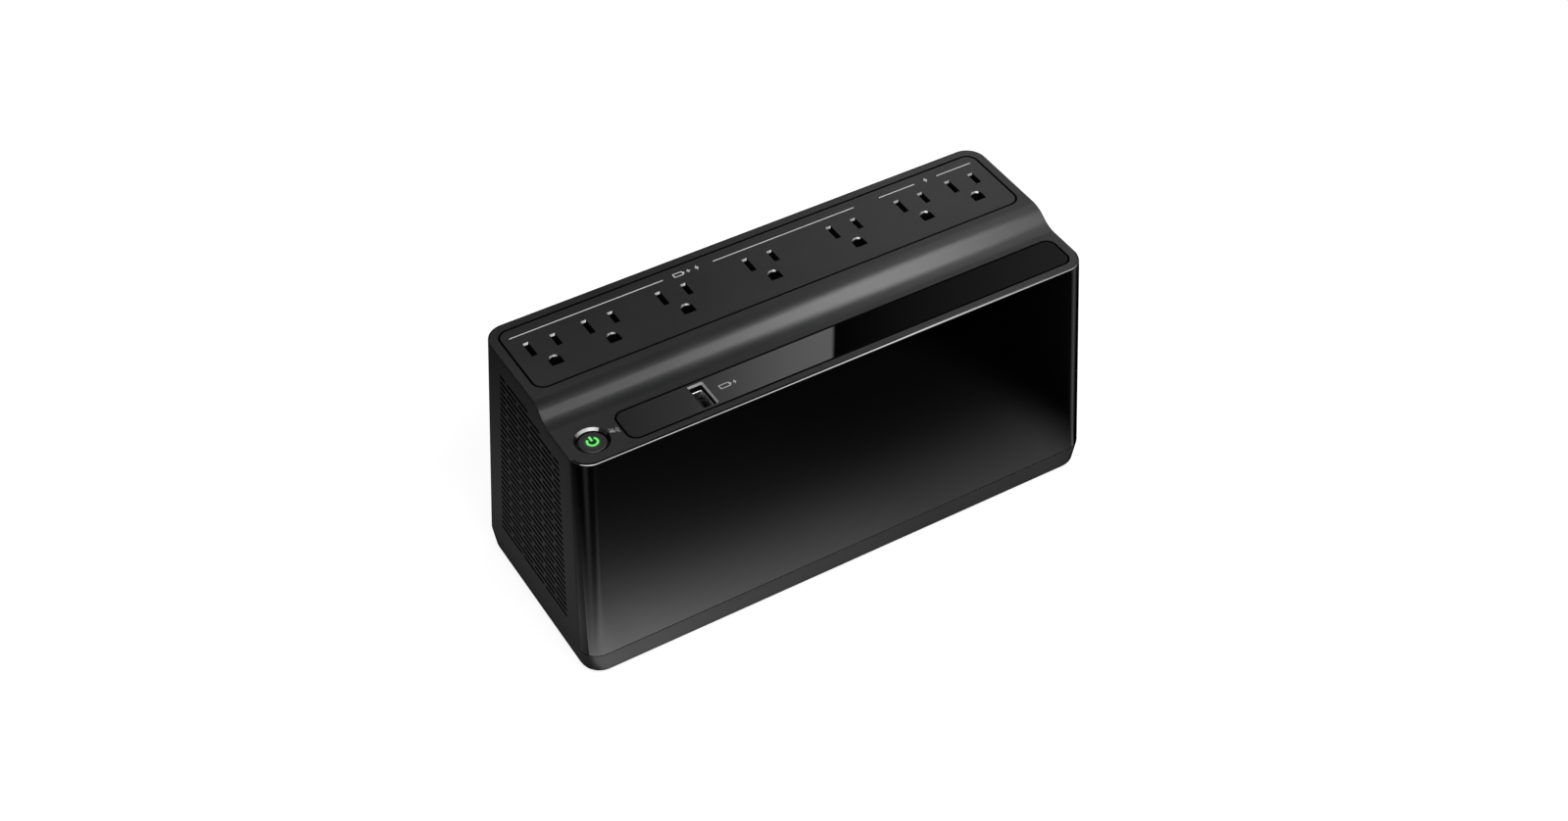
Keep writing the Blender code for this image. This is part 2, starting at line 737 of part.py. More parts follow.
def comb(name, centres, opening, spine, tip):
    """Brass strip on edge with a pair of leaves at each centre."""
    away = math.copysign(STRIP_T, spine - tip)
    loop = []
    for x in centres:
        for near in (x - opening / 2 - LEAF_T, x + opening / 2):
            loop += [(near, spine), (near, tip), (near + LEAF_T, tip), (near + LEAF_T, spine)]
    ends = (centres[0] - BLADE_HALF - STRIP_END, centres[-1] + BLADE_HALF + STRIP_END)
    loop = [(ends[0], spine)] + loop + [(ends[1], spine), (ends[1], spine + away), (ends[0], spine + away)]
    top = RAIL_TOP - LEAF_DROP
    return solid(name, BRASS, [along_z(loop, top - LEAF_H), along_z(loop, top)])


def contact_strips():
    neutral = [x - BLADE_HALF for x in OUTLET_X]
    line = [x + BLADE_HALF for x in OUTLET_X]
    tip = NEUTRAL_L / 2 - LEAF_SHORT / 2
    opening = SLOT_W + LEAF_OPEN
    comb("neutral_strip", neutral, opening, NEUTRAL_SPINE, SLOT_Y - tip)
    comb("backed_line_strip", line[:BACKED_OUTLETS], opening, LINE_SPINE, SLOT_Y + tip)
    comb("surge_line_strip", line[BACKED_OUTLETS:], opening, LINE_SPINE, SLOT_Y + tip)
    comb("ground_strip", list(OUTLET_X), GROUND_W + GROUND_OPEN, GROUND_SPINE, GROUND_Y + GROUND_W / 2)


# Lower deck pieces
def status_strip():
    """Glossy insert with a bevelled opening and a collar for the charging port."""
    shape = Shape()
    under = LOW_Z - INSERT_T
    collar = under - PORT_COLLAR
    first, last = shape.tower([along_z(strip_outline(-GROOVE / 2), under),
                               along_z(strip_outline(-GROOVE / 2), LOW_Z - INSERT_EDGE),
                               along_z(strip_outline(-GROOVE / 2 - INSERT_EDGE), LOW_Z)])
    tight = box_loop(PORT_X, PORT_Y, PORT_W, PORT_L)
    wide = box_loop(PORT_X, PORT_Y, PORT_W + 2 * PORT_BEVEL, PORT_L + 2 * PORT_BEVEL)
    sleeve = box_loop(PORT_X, PORT_Y, PORT_W + 2 * PORT_COLLAR_T, PORT_L + 2 * PORT_COLLAR_T)
    neck = LOW_Z - PORT_BEVEL
    low, high = shape.tower([along_z(tight, collar), along_z(tight, neck), along_z(wide, LOW_Z)])
    root, tip = shape.tower([along_z(sleeve, under), along_z(sleeve, collar)])
    shape.cap(last, high)
    shape.cap(first, root)
    shape.cap(tip, low)
    return shape.make("status_strip", GLOSS)


PORT_TOP = LOW_Z - INSERT_T - PORT_COLLAR - GAP
PORT_FOOT = PORT_TOP - PORT_DEPTH
SMALL_BOARD_Z = PORT_FOOT - GAP


def charging_port():
    """Steel sleeve with a flat tongue standing in it."""
    outer = box_loop(PORT_X, PORT_Y, PORT_W, PORT_L)
    inner = box_loop(PORT_X, PORT_Y, PORT_W - 2 * PORT_SHELL, PORT_L - 2 * PORT_SHELL)
    solid("port_shell", STEEL, [along_z(outer, PORT_FOOT), along_z(outer, PORT_TOP)],
          [[along_z(inner, PORT_FOOT), along_z(inner, PORT_TOP)]])
    clear = PORT_SHELL + GAP
    base = box_loop(PORT_X, PORT_Y, PORT_W - 2 * clear, PORT_L - 2 * clear)
    left = PORT_X - PORT_W / 2 + TONGUE_SIDE
    tongue = box_loop(left + TONGUE_T / 2, PORT_Y, TONGUE_T, PORT_L - 4 * clear)
    shape = Shape()
    first, last = shape.tower([along_z(base, PORT_FOOT), along_z(base, PORT_FOOT + TONGUE_BASE)])
    root, tip = shape.tower([along_z(tongue, PORT_FOOT + TONGUE_BASE),
                             along_z(tongue, PORT_TOP - TONGUE_BASE)])
    shape.cap(first)
    shape.cap(last, root)
    shape.cap(tip)
    shape.make("port_tongue", INNER)


BUTTON_TOP = LOW_Z - BUTTON_SINK
FLANGE_TOP = LOW_Z - COVER_T - GAP
STEM_FOOT = FLANGE_TOP - BUTTON_FLANGE_T - BUTTON_STEM


def power_button():
    """Round cap sunk in its chamfered hole, held by a flange under the cover."""
    flange_foot = FLANGE_TOP - BUTTON_FLANGE_T
    flange_r = BUTTON_R + BUTTON_FLANGE
    turn_in = BUTTON_EDGE * (1 - math.cos(math.pi / 4))
    levels = [(BUTTON_STEM_R, STEM_FOOT), (BUTTON_STEM_R, flange_foot), (flange_r, flange_foot),
              (flange_r, FLANGE_TOP), (BUTTON_R, FLANGE_TOP), (BUTTON_R, BUTTON_TOP - BUTTON_EDGE),
              (BUTTON_R - turn_in, BUTTON_TOP - turn_in), (BUTTON_R - BUTTON_EDGE, BUTTON_TOP)]
    loops = [along_z(circle(BUTTON_X, BUTTON_Y, r, FINE_STEPS), z) for r, z in levels]
    piece = solid("power_button", BUTTON, loops)
    set_origin(piece, BUTTON_X, BUTTON_Y, BUTTON_TOP)


def small_board():
    """Board under the strip with the switch that the power button presses."""
    y = (STRIP_Y - STRIP_W / 2, STRIP_Y + STRIP_W / 2)
    x = (BUTTON_X - SMALL_BOARD_ENDS[0], PORT_X + SMALL_BOARD_ENDS[1])
    block("indicator_board", BOARD, x, y, (SMALL_BOARD_Z - BOARD_T, SMALL_BOARD_Z))
    foot = SMALL_BOARD_Z + GAP
    top = STEM_FOOT - BUTTON_TRAVEL - GAP
    body = box_loop(BUTTON_X, BUTTON_Y, SWITCH_W, SWITCH_W)
    knob = circle(BUTTON_X, BUTTON_Y, BUTTON_STEM_R, COARSE_STEPS)
    shape = Shape()
    first, last = shape.tower([along_z(body, foot), along_z(body, foot + SWITCH_H)])
    root, tip = shape.tower([along_z(knob, foot + SWITCH_H), along_z(knob, top)])
    shape.cap(first)
    shape.cap(last, root)
    shape.cap(tip)
    shape.make("power_switch", INNER)


# Tray, feet and battery
BATTERY_X = half_x(TRAY_Z) - BATTERY_END - BATTERY_L / 2
OPENING_L = BATTERY_L + 2 * HATCH_CLEAR
OPENING_W = BATTERY_W + 2 * HATCH_CLEAR
HATCH_L = OPENING_L + 2 * HATCH_LAP
HATCH_W = OPENING_W + 2 * HATCH_LAP
FEET = [(name, sx * (half_x(TRAY_Z) - FOOT_X_IN), sy * (half_y(TRAY_Z) - FOOT_Y_IN))
        for name, sx, sy in (("foot_front_left", -1, -1), ("foot_front_right", 1, -1),
                             ("foot_rear_left", -1, 1), ("foot_rear_right", 1, 1))]
KEYHOLE_Y = half_y(TRAY_Z) - KEYHOLE_EDGE
POSTS = [(CORE_X + sx * CORE_L / 3, CORE_Y + sy * CORE_STACK / 3)
         for sx, sy in ((-1, -1), (1, -1), (-1, 1), (1, 1))]


def keyhole(x):
    """Round hole for a screw head with a narrow slot to one side."""
    bend = math.asin(KEYHOLE_SLOT / KEYHOLE_R)
    loop = []
    for i in range(ROUND_STEPS + 1):
        turn = bend + (2 * math.pi - 2 * bend) * i / ROUND_STEPS
        loop.append((x + KEYHOLE_R * math.cos(turn), KEYHOLE_Y + KEYHOLE_R * math.sin(turn)))
    for i in range(COARSE_STEPS + 1):
        turn = -math.pi / 2 + math.pi * i / COARSE_STEPS
        loop.append((x + KEYHOLE_L + KEYHOLE_SLOT * math.cos(turn),
                     KEYHOLE_Y + KEYHOLE_SLOT * math.sin(turn)))
    return loop


def base_tray():
    """Shallow tray with a battery opening, keyholes, foot pockets and posts."""
    shape = Shape()
    top = SEAM_Z - GAP / 2
    levels = [rim(TRAY_Z + TRAY_EDGE * rise, TRAY_EDGE * inset, TRAY_TUCK) for inset, rise in TRAY_EDGE_CURVE]
    levels += [rim(top, 0), rim(top, WALL), rim(FLOOR_TOP, WALL, TRAY_TUCK)]
    bottom, floor = shape.tower(levels)
    bottoms = [bottom]
    floors = [floor]
    for x in (-KEYHOLE_X, KEYHOLE_X):
        low, high = shape.tower([along_z(keyhole(x), TRAY_Z), along_z(keyhole(x), FLOOR_TOP)])
        bottoms.append(low)
        floors.append(high)
    for name, x, y in FEET:
        loop = circle(x, y, FOOT_R + GAP)
        low, high = shape.tower([along_z(loop, TRAY_Z), along_z(loop, TRAY_Z + FOOT_POCKET)])
        bottoms.append(low)
        shape.cap(high)
    recess_l = HATCH_L + HATCH_TRAVEL + 2 * GAP
    recess = round_box(BATTERY_X - HATCH_TRAVEL / 2, BATTERY_Y, recess_l, HATCH_W + 2 * GAP, BATTERY_R)
    low, high = shape.tower([along_z(recess, TRAY_Z), along_z(recess, HATCH_TOP)])
    bottoms.append(low)
    opening = round_box(BATTERY_X, BATTERY_Y, OPENING_L, OPENING_W, BATTERY_R)
    root, rise = shape.tower([along_z(opening, HATCH_TOP), along_z(opening, FLOOR_TOP)])
    floors.append(rise)
    shape.cap(high, root)
    post_top = CORE_Z - GAP
    for x, y in POSTS:
        post = circle(x, y, POST_R, COARSE_STEPS)
        bore = circle(x, y, POST_BORE, COARSE_STEPS)
        base, end = shape.tower([along_z(post, FLOOR_TOP), along_z(post, post_top), along_z(bore, post_top),
                                 along_z(bore, FLOOR_TOP + POST_WEB)])
        floors.append(base)
        shape.cap(end)
    shape.cap(*bottoms)
    shape.cap(*floors)
    return shape.make("base_tray", CASE)


def feet():
    for name, x, y in FEET:
        edge = TRAY_EDGE / 2
        levels = [(FOOT_R - edge, 0), (FOOT_R, edge), (FOOT_R, TRAY_Z + FOOT_POCKET - GAP)]
        solid(name, RUBBER, [along_z(circle(x, y, r), z) for r, z in levels])


def battery():
    """Sealed block battery with a shallow lid and two upright tabs."""
    foot = HATCH_TOP
    lid = foot + BATTERY_H - BATTERY_LID
    top = foot + BATTERY_H
    full = round_box(BATTERY_X, BATTERY_Y, BATTERY_L, BATTERY_W, BATTERY_R)
    trim = 2 * BATTERY_LID_IN
    small = round_box(BATTERY_X, BATTERY_Y, BATTERY_L - trim, BATTERY_W - trim, BATTERY_R)
    levels = [along_z(full, foot), along_z(full, lid), along_z(small, lid), along_z(small, top)]
    solid("battery", CELL, levels)
    for name, side in (("terminal_negative", -1), ("terminal_positive", 1)):
        x = BATTERY_X + side * (BATTERY_L / 2 - TERMINAL_IN)
        y = BATTERY_Y + BATTERY_W / 2 - TERMINAL_IN
        tab = box_loop(x, y, TERMINAL_W, TERMINAL_T)
        solid(name, BRASS, [along_z(tab, top + GAP), along_z(tab, top + GAP + TERMINAL_H)])


def battery_cover():
    """Flat cover that slides towards the left end; ribs give the fingers a grip."""
    shape = Shape()
    foot = HATCH_TOP - GAP - HATCH_T
    outline = round_box(BATTERY_X, BATTERY_Y, HATCH_L, HATCH_W, BATTERY_R)
    low, high = shape.tower([along_z(outline, foot), along_z(outline, foot + HATCH_T)])
    shape.cap(high)
    lows = [low]
    for i in range(HATCH_RIBS):
        x = BATTERY_X + HATCH_L / 2 - HATCH_RIB_IN - HATCH_RIB_PITCH * i
        rib = box_loop(x, BATTERY_Y, HATCH_RIB_W, HATCH_RIB_L)
        root, tip = shape.tower([along_z(rib, foot), along_z(rib, foot - HATCH_RIB_H)])
        lows.append(root)
        shape.cap(tip)
    shape.cap(*lows)
    piece = shape.make("battery_cover", CASE)
    set_origin(piece, BATTERY_X, BATTERY_Y, foot)


# Electrical parts beside the battery
def transformer():
    """Laminated core with two windows and a winding round its middle leg."""
    window_w = (CORE_L - 4 * CORE_LEG) / 2
    window_h = CORE_H - 2 * CORE_YOKE
    mid = CORE_Z + CORE_H / 2
    span = (CORE_Y - CORE_STACK / 2, CORE_Y + CORE_STACK / 2)
    outer = box_loop(CORE_X, mid, CORE_L, CORE_H)
    windows = []
    for side in (-1, 1):
        loop = box_loop(CORE_X + side * (CORE_LEG + window_w / 2), mid, window_w, window_h)
        windows.append([along_y(loop, span[0]), along_y(loop, span[1])])
    solid("transformer_core", IRON, [along_y(outer, span[0]), along_y(outer, span[1])], windows)
    inner = box_loop(CORE_X, CORE_Y, 2 * CORE_LEG + 2 * WINDOW_CLEAR, CORE_STACK + 2 * WINDOW_CLEAR)
    outer_w = 2 * CORE_LEG + 2 * window_w - 2 * WINDOW_CLEAR
    ring = round_box(CORE_X, CORE_Y, outer_w, CORE_STACK + 2 * COIL_BULGE, window_w / 3)
    z = (mid - window_h / 2 + WINDOW_CLEAR, mid + window_h / 2 - WINDOW_CLEAR)
    solid("transformer_coil", COPPER, [along_z(ring, z[0]), along_z(ring, z[1])],
          [[along_z(inner, z[0]), along_z(inner, z[1])]])


MAIN_X = (-half_x(DECK_Z) + BOARD_END, BATTERY_X - BATTERY_L / 2 - BOARD_BATTERY_GAP)
MAIN_Y = -half_y(TRAY_Z) + BOARD_FRONT
MAIN_Z = (FLOOR_TOP + BOARD_LIFT, FLOOR_TOP + BOARD_LIFT + BOARD_H)


def main_board():
    """Upright board near the front with heat sink, capacitors, relay and sounder."""
    block("main_board", BOARD, MAIN_X, (MAIN_Y - BOARD_T, MAIN_Y), MAIN_Z)
    face = MAIN_Y + GAP
    length = MAIN_X[1] - MAIN_X[0]
    left = MAIN_X[0] + PART_IN
    foot = MAIN_Z[0] + PART_IN
    base_y = face + SINK_BASE
    step = (SINK_H - SINK_FIN_T) / (SINK_FINS - 1)
    loop = [(face, foot), (face, foot + SINK_H)]
    for i in reversed(range(SINK_FINS)):
        z = foot + step * i
        tip_y = base_y + SINK_FIN
        loop += [(base_y, z + SINK_FIN_T), (tip_y, z + SINK_FIN_T), (tip_y, z), (base_y, z)]
    loop.remove((base_y, foot))
    loop.remove((base_y, foot + step * (SINK_FINS - 1) + SINK_FIN_T))
    solid("heat_sink", ALLOY, [along_x(loop, left), along_x(loop, left + SINK_SHARE * length)])
    high = MAIN_Z[1] - PART_IN - BUZZER_R
    for i, name in enumerate(("capacitor_left", "capacitor_middle", "capacitor_right")):
        x = left + CAP_R + CAP_SHARE * length * i
        levels = [(CAP_R, face), (CAP_R, face + CAP_L - PART_EDGE), (CAP_R - PART_EDGE, face + CAP_L)]
        solid(name, SLEEVE, [along_y(circle(x, high, r), y) for r, y in levels])
    relay_x = (MAIN_X[1] - PART_IN - RELAY_SHARE * length, MAIN_X[1] - PART_IN)
    block("transfer_relay", INNER, relay_x, (face, face + RELAY_H), (foot, foot + RELAY_W))
    x = (relay_x[0] + relay_x[1]) / 2
    tip = face + BUZZER_H
    levels = [(BUZZER_R, face), (BUZZER_R, tip - PART_EDGE), (BUZZER_R - PART_EDGE, tip)]
    solid("sounder", INNER, [along_y(circle(x, high, r), y) for r, y in levels])


# Fittings in the rear wall
def rear_seat(reach):
    """Plane that clears the leaning rear wall down to reach below the fittings' middle."""
    return half_y(FIT_Z - reach) + GAP


REAR_IN = half_y(FIT_Z + BREAKER_W) - WALL


def cord_gland():
    """Bushing in the rear wall with a clear bore for a mains cord."""
    flange = rear_seat(GLAND_FLANGE)
    ends = (flange - GLAND_LENGTH, flange + GLAND_FLANGE_T)
    levels = [(GLAND_R, ends[0]), (GLAND_R, flange), (GLAND_FLANGE, flange),
              (GLAND_FLANGE, ends[1] - PART_EDGE), (GLAND_FLANGE - PART_EDGE, ends[1])]
    bore = circle(GLAND_X, FIT_Z, GLAND_BORE)
    solid("cord_gland", RUBBER, [along_y(circle(GLAND_X, FIT_Z, r), y) for r, y in levels],
          [[along_y(bore, ends[0]), along_y(bore, ends[1])]])


def breaker():
    """Circuit breaker behind the wall, its collar through the wall and a reset cap."""
    back = REAR_IN - 2 * GAP
    block("breaker_body", INNER, (BREAKER_X - BREAKER_W / 2, BREAKER_X + BREAKER_W / 2),
          (back - BREAKER_DEPTH, back), (FIT_Z - BREAKER_W / 2, FIT_Z + BREAKER_W / 2))
    root = back + GAP
    flange = rear_seat(COLLAR_FLANGE)
    levels = [(COLLAR_R, root), (COLLAR_R, flange), (COLLAR_FLANGE, flange),
              (COLLAR_FLANGE, flange + COLLAR_FLANGE_T), (COLLAR_R, flange + COLLAR_FLANGE_T),
              (COLLAR_R, flange + COLLAR_OUT)]
    bore = circle(BREAKER_X, FIT_Z, RESET_R + FIT_CLEAR)
    solid("breaker_collar", INNER, [along_y(circle(BREAKER_X, FIT_Z, r), y) for r, y in levels],
          [[along_y(bore, root), along_y(bore, flange + COLLAR_OUT)]])
    tip = flange + COLLAR_OUT + RESET_OUT
    levels = [(RESET_R, root + RESET_TRAVEL + GAP), (RESET_R, tip - PART_EDGE), (RESET_R - PART_EDGE, tip)]
    piece = solid("breaker_reset", RESET, [along_y(circle(BREAKER_X, FIT_Z, r), y) for r, y in levels])
    set_origin(piece, BREAKER_X, tip, FIT_Z)


def data_jack():
    """Modular jack with a keyed pocket that opens to the rear."""
    front = rear_seat(JACK_H / 2)
    outer = box_loop(JACK_X, FIT_Z, JACK_W, JACK_H)
    w = JACK_PORT_W / 2
    h = JACK_PORT_H / 2
    k = JACK_KEY_W / 2
    z = FIT_Z + JACK_KEY_H / 2
    sill = z - h
    pocket = [(JACK_X - w, sill), (JACK_X - k, sill), (JACK_X - k, sill - JACK_KEY_H),
              (JACK_X + k, sill - JACK_KEY_H), (JACK_X + k, sill), (JACK_X + w, sill),
              (JACK_X + w, z + h), (JACK_X - w, z + h)]
    solid("data_jack", INNER, [along_y(outer, front - JACK_DEPTH), along_y(outer, front)],
          pockets=[[along_y(pocket, front - JACK_POCKET), along_y(pocket, front)]])


base_tray()
front_panel()
rear_panel()
end_panel("left_end_panel", -1)
end_panel("right_end_panel", 1)
top_cover()
outlet_panel()
contact_rails()
contact_strips()
status_strip()
charging_port()
power_button()
small_board()
feet()
battery()
battery_cover()
transformer()
main_board()
cord_gland()
breaker()
data_jack()
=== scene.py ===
"""Looks of a desktop uninterruptible power supply with a stepped outlet deck.

The object's lengths are millimetres and become metres when a mesh is made; the studio's lights, floor
and cards are in metres.  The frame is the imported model's: the length runs along X, the polished front
faces -Y and +Z is up, with the feet on z = 0.
"""
import json
import math
from functools import partial

import bmesh
import bpy
import numpy as np
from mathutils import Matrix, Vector
from mathutils.geometry import tessellate_polygon

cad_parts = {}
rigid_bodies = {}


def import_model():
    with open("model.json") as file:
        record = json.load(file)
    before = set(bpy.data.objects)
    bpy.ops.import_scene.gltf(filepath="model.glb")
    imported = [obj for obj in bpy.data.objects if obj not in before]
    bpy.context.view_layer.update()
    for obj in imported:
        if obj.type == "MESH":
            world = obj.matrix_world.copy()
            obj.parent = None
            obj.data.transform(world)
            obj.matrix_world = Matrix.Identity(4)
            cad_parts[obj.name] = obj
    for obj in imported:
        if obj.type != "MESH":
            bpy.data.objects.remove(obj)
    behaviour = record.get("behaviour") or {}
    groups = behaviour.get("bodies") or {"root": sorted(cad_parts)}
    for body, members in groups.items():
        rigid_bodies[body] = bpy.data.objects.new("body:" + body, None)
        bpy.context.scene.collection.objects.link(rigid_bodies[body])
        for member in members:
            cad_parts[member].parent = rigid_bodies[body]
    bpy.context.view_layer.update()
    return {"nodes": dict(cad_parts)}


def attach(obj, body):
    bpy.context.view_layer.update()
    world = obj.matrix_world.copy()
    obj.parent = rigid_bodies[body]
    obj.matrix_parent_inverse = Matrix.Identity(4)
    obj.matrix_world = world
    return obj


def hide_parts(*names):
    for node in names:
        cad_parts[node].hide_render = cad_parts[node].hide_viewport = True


for leftover in list(bpy.data.objects):
    bpy.data.objects.remove(leftover, do_unlink=True)
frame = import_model()

# General values: points nearer than WELD, in metres, join, and turns tell smooth edges from sharp ones
MM = 0.001
GAP = 0.3
SUPPORT = 0.5
WELD = 2e-6
SHARP_TURN = math.radians(30)
BEVEL_TURN = math.radians(35)
FLAT_TURN = math.radians(0.5)

# Case outline, with walls that lean in above the seam
CASE_LENGTH = 274.0
CASE_DEPTH = 105.0
SEAM_Z = 14.5
LOW_Z = 127.15
DECK_Z = 133.75
DRAFT = math.tan(math.radians(3.0))
CORNER_R = 9.7
CORNER_STEPS = 28
WALL = 2.4
SPLIT_DEG = 12.0
# Bounds of the vents, whose slits get painted shade inside
VENT_SIDE = 18.0
VENT_LOW = 20.0
SEAM_SHOWN = 0.06
DECK_SEAM = 0.25
# Strip of painted shadow in the seam: its height and how far in it stands
SEAM_SHADOW_H = 0.6
SEAM_SHADOW_IN = 0.1

# Rounding of the edges of copied nodes
WALL_ROUND = 0.25
END_ROUND = 0.15
TRAY_ROUND = 0.3
FOOT_ROUND = 0.3
BUSH_ROUND = 0.3
FITTING_ROUND = 0.2
JACK_ROUND = 0.15
TONGUE_ROUND = 0.12
ROUND_SEGMENTS = 2

# Cover and its step
COVER_T = 2.4
COVER_LIP = 1.0
COVER_EDGE = 0.42
COVER_REAR_EDGE = 0.06
COVER_FRONT_EDGE = 0.1
EDGE_STEPS = 6
FRONT_LIP = 0.9
FRONT_FOOT = 0.35
LIP_GROOVE = 0.12
SWOOP_Y = -3.085
SWOOP_R = 13.0
SWOOP_SLOPE = math.radians(35.0)
SWOOP_STEPS = 20

# Outlet plate
PANEL_HALF_X = 126.0
PANEL_Y = 20.8575
PANEL_W = 41.685
PANEL_R = 5.5
GROOVE = 0.95
INSERT_EDGE = 0.05
INSERT_T = 2.4
WELL_DEPTH = 5.2
WELL_WALL = 0.5
PRINT_SINK = 0.06
PRINT_T = 0.035
OUTLET_X = np.array([-0.878, -0.652, -0.357, 0.0, 0.357, 0.652, 0.878]) * PANEL_HALF_X
SLOT_Y = 25.30
BLADE_HALF = 6.35
SLOT_W = 1.9
NEUTRAL_L = 8.1
LINE_L = 6.6
SLOT_R = 0.12
LEAD_SLOT = (0.45, 0.7)
LEAD_DEPTH = 0.85
GROUND_Y = 13.80
GROUND_W = 5.2
GROUND_FLAT = 3.3
GROUND_STEPS = 32
LEAD_GROUND = (0.45, 0.55, 0.15)
LEAD_GROUND_DEPTH = 0.65
REAR_SIDE = 0.6

# Status strip, button and charging port
STRIP_X = (-103.2, 126.1)
STRIP_Y = -32.71
STRIP_W = 18.375
STRIP_R = 4.7
BUTTON = (-117.5, -33.01)
BUTTON_R = 6.25
BUTTON_BORE = 6.95
BUTTON_CHAMFER = 1.05
BUTTON_LIT = (5.0, 140.0)
BUTTON_SINK = 1.0
BUTTON_EDGE = 0.5
BUTTON_DISH = 0.12
BUTTON_MIDDLE = 0.12
BUTTON_RINGS = 9
FLANGE_R = 8.4
FLANGE_T = 1.2
STEM_R = 2.0
STEM_L = 4.0
PORT = (-63.6, -32.71)
PORT_W = 6.1
PORT_L = 13.6
PORT_BEVEL = 0.8
PORT_R = 0.35
PORT_COLLAR = 1.2
PORT_PALE = 0.5

# Charging port: the sleeve's mouth as inset and drop, and its contacts measured from the sleeve
SLEEVE_GAP = 0.05
SLEEVE_L = 13.0
SLEEVE_MOUTH = ((0.0, 0.06), (0.05, 0.0), (0.32, 0.0), (0.5, 0.18), (0.55, 0.3))
CONTACTS = 4
CONTACT_PITCH = 2.3
CONTACT_X = (3.41, 3.55)
CONTACT_W = 1.0
CONTACT_R = 0.12
CONTACT_LOW = 3.2
CONTACT_TOP = 3.6

# Printed marks: lines along the outlets, marks in their gaps, beside the port and on the button
LINE_Y = 35.9
LINE_SPANS = ((-122.0, -45.2), (-19.4, 56.2), (70.2, 90.0), (102.5, 121.7))
LINE_W = 0.5
LINE_SLANT = 0.3
BACKED_CELL_X = -37.2
BACKED_PLUS_X = -32.0
BACKED_BOLT_X = -27.6
SURGE_X = 96.3
PLUS_HALF = 1.0
PLUS_W = 0.45
PLUS_GAP = 0.23
BOLT_SIZE = 3.6
CELL_SIZE = (5.0, 2.6)
CELL_LINE = 0.45
CELL_R = (0.3, 0.15, 0.1)
CELL_CAP_X = 0.35
CELL_CAP_L = 0.5
CELL_CAP_SHARE = 0.45
CHARGE = (-52.6, -32.4)
CHARGE_CELL = (5.2, 2.6)
CHARGE_STEP = 5.0
CHARGE_BOLT = 3.0
SILENCE = (-106.7, -32.4)
SOUND_CONE = ((-2.1, -0.6), (-1.2, -0.6), (0.0, -1.5), (0.0, 1.5), (-1.2, 0.6), (-2.1, 0.6))
SOUND_RINGS = ((0.9, 1.25), (1.7, 2.05))
SOUND_TURN = 40.0
CROSS_HALF = 2.0
CROSS_W = 0.3
SYMBOL = (BUTTON[0] + 0.15, BUTTON[1] + 0.2)
SYMBOL_RING = (1.8, 2.85)
SYMBOL_TURN = (130.0, 410.0)
SYMBOL_BAR = (1.1, 3.0)
SYMBOL_BAR_UP = 1.85
SYMBOL_R = 0.3
WINDOW_R = 3.1
WINDOW_UP = 0.04


# Shader maths
def both(operation):
    """An operator and its reflected form, as Math nodes."""
    def forward(self, other):
        return self.nodes.math(operation, self, other)

    def reflected(self, other):
        return self.nodes.math(operation, other, self)

    return forward, reflected


class Value:
    """A shader socket that takes part in Python expressions; each step adds a node."""

    def __init__(self, nodes, socket):
        self.nodes = nodes
        self.socket = socket

    __add__, __radd__ = both("ADD")
    __sub__, __rsub__ = both("SUBTRACT")
    __mul__, __rmul__ = both("MULTIPLY")
    __truediv__, __rtruediv__ = both("DIVIDE")
    __gt__ = both("GREATER_THAN")[0]
    __lt__ = both("LESS_THAN")[0]

    def __neg__(self):
        return -1.0 * self

    def other(self, name):
        """Another output of the same node."""
        return Value(self.nodes, self.socket.node.outputs[name])

    def at_least(self, low):
        return self.nodes.math("MAXIMUM", self, low)

    def between(self, low, high):
        """Low where the value is 0, high where it is 1."""
        return low + (high - low) * self

    def bell(self, width):
        """1 at 0, falling to 1 / e at the width on either side."""
        share = self / width
        return self.nodes.math("EXPONENT", -(share * share))

    def fade(self, length):
        """1 where the value is 0 or less, falling by a factor e with each length."""
        return self.nodes.math("EXPONENT", self.at_least(0.0) / -length)

    def ramp(self, start, stop, first=0.0, last=1.0):
        """Smooth step from first to last as the value goes from start to stop."""
        sockets = {0: self, 1: start, 2: stop, 3: first, 4: last}
        return self.nodes.node("ShaderNodeMapRange", sockets, interpolation_type="SMOOTHSTEP")


class Nodes:
    """A node tree and the one method that adds nodes of any type to it."""

    def __init__(self, tree):
        self.tree = tree

    def put(self, socket, value):
        """Links a value into a socket, or writes a constant there."""
        if isinstance(value, Value):
            self.tree.links.new(value.socket, socket)
        else:
            socket.default_value = value

    def node(self, kind, sockets=None, out=0, **settings):
        """Adds a node and fills its settings, then its sockets."""
        made = self.tree.nodes.new(kind)
        for key, value in settings.items():
            if key == "stops":
                ramp = made.color_ramp
                while len(ramp.elements) < len(value):
                    ramp.elements.new(1.0)
                for element, (place, colour) in zip(ramp.elements, value):
                    element.position = place
                    element.color = colour
            else:
                setattr(made, key, value)
        for key, value in (sockets or {}).items():
            self.put(made.inputs[key], value)
        return Value(self, made.outputs[out])

    def math(self, operation, first, second=None):
        sockets = {0: first} if second is None else {0: first, 1: second}
        return self.node("ShaderNodeMath", sockets, operation=operation)


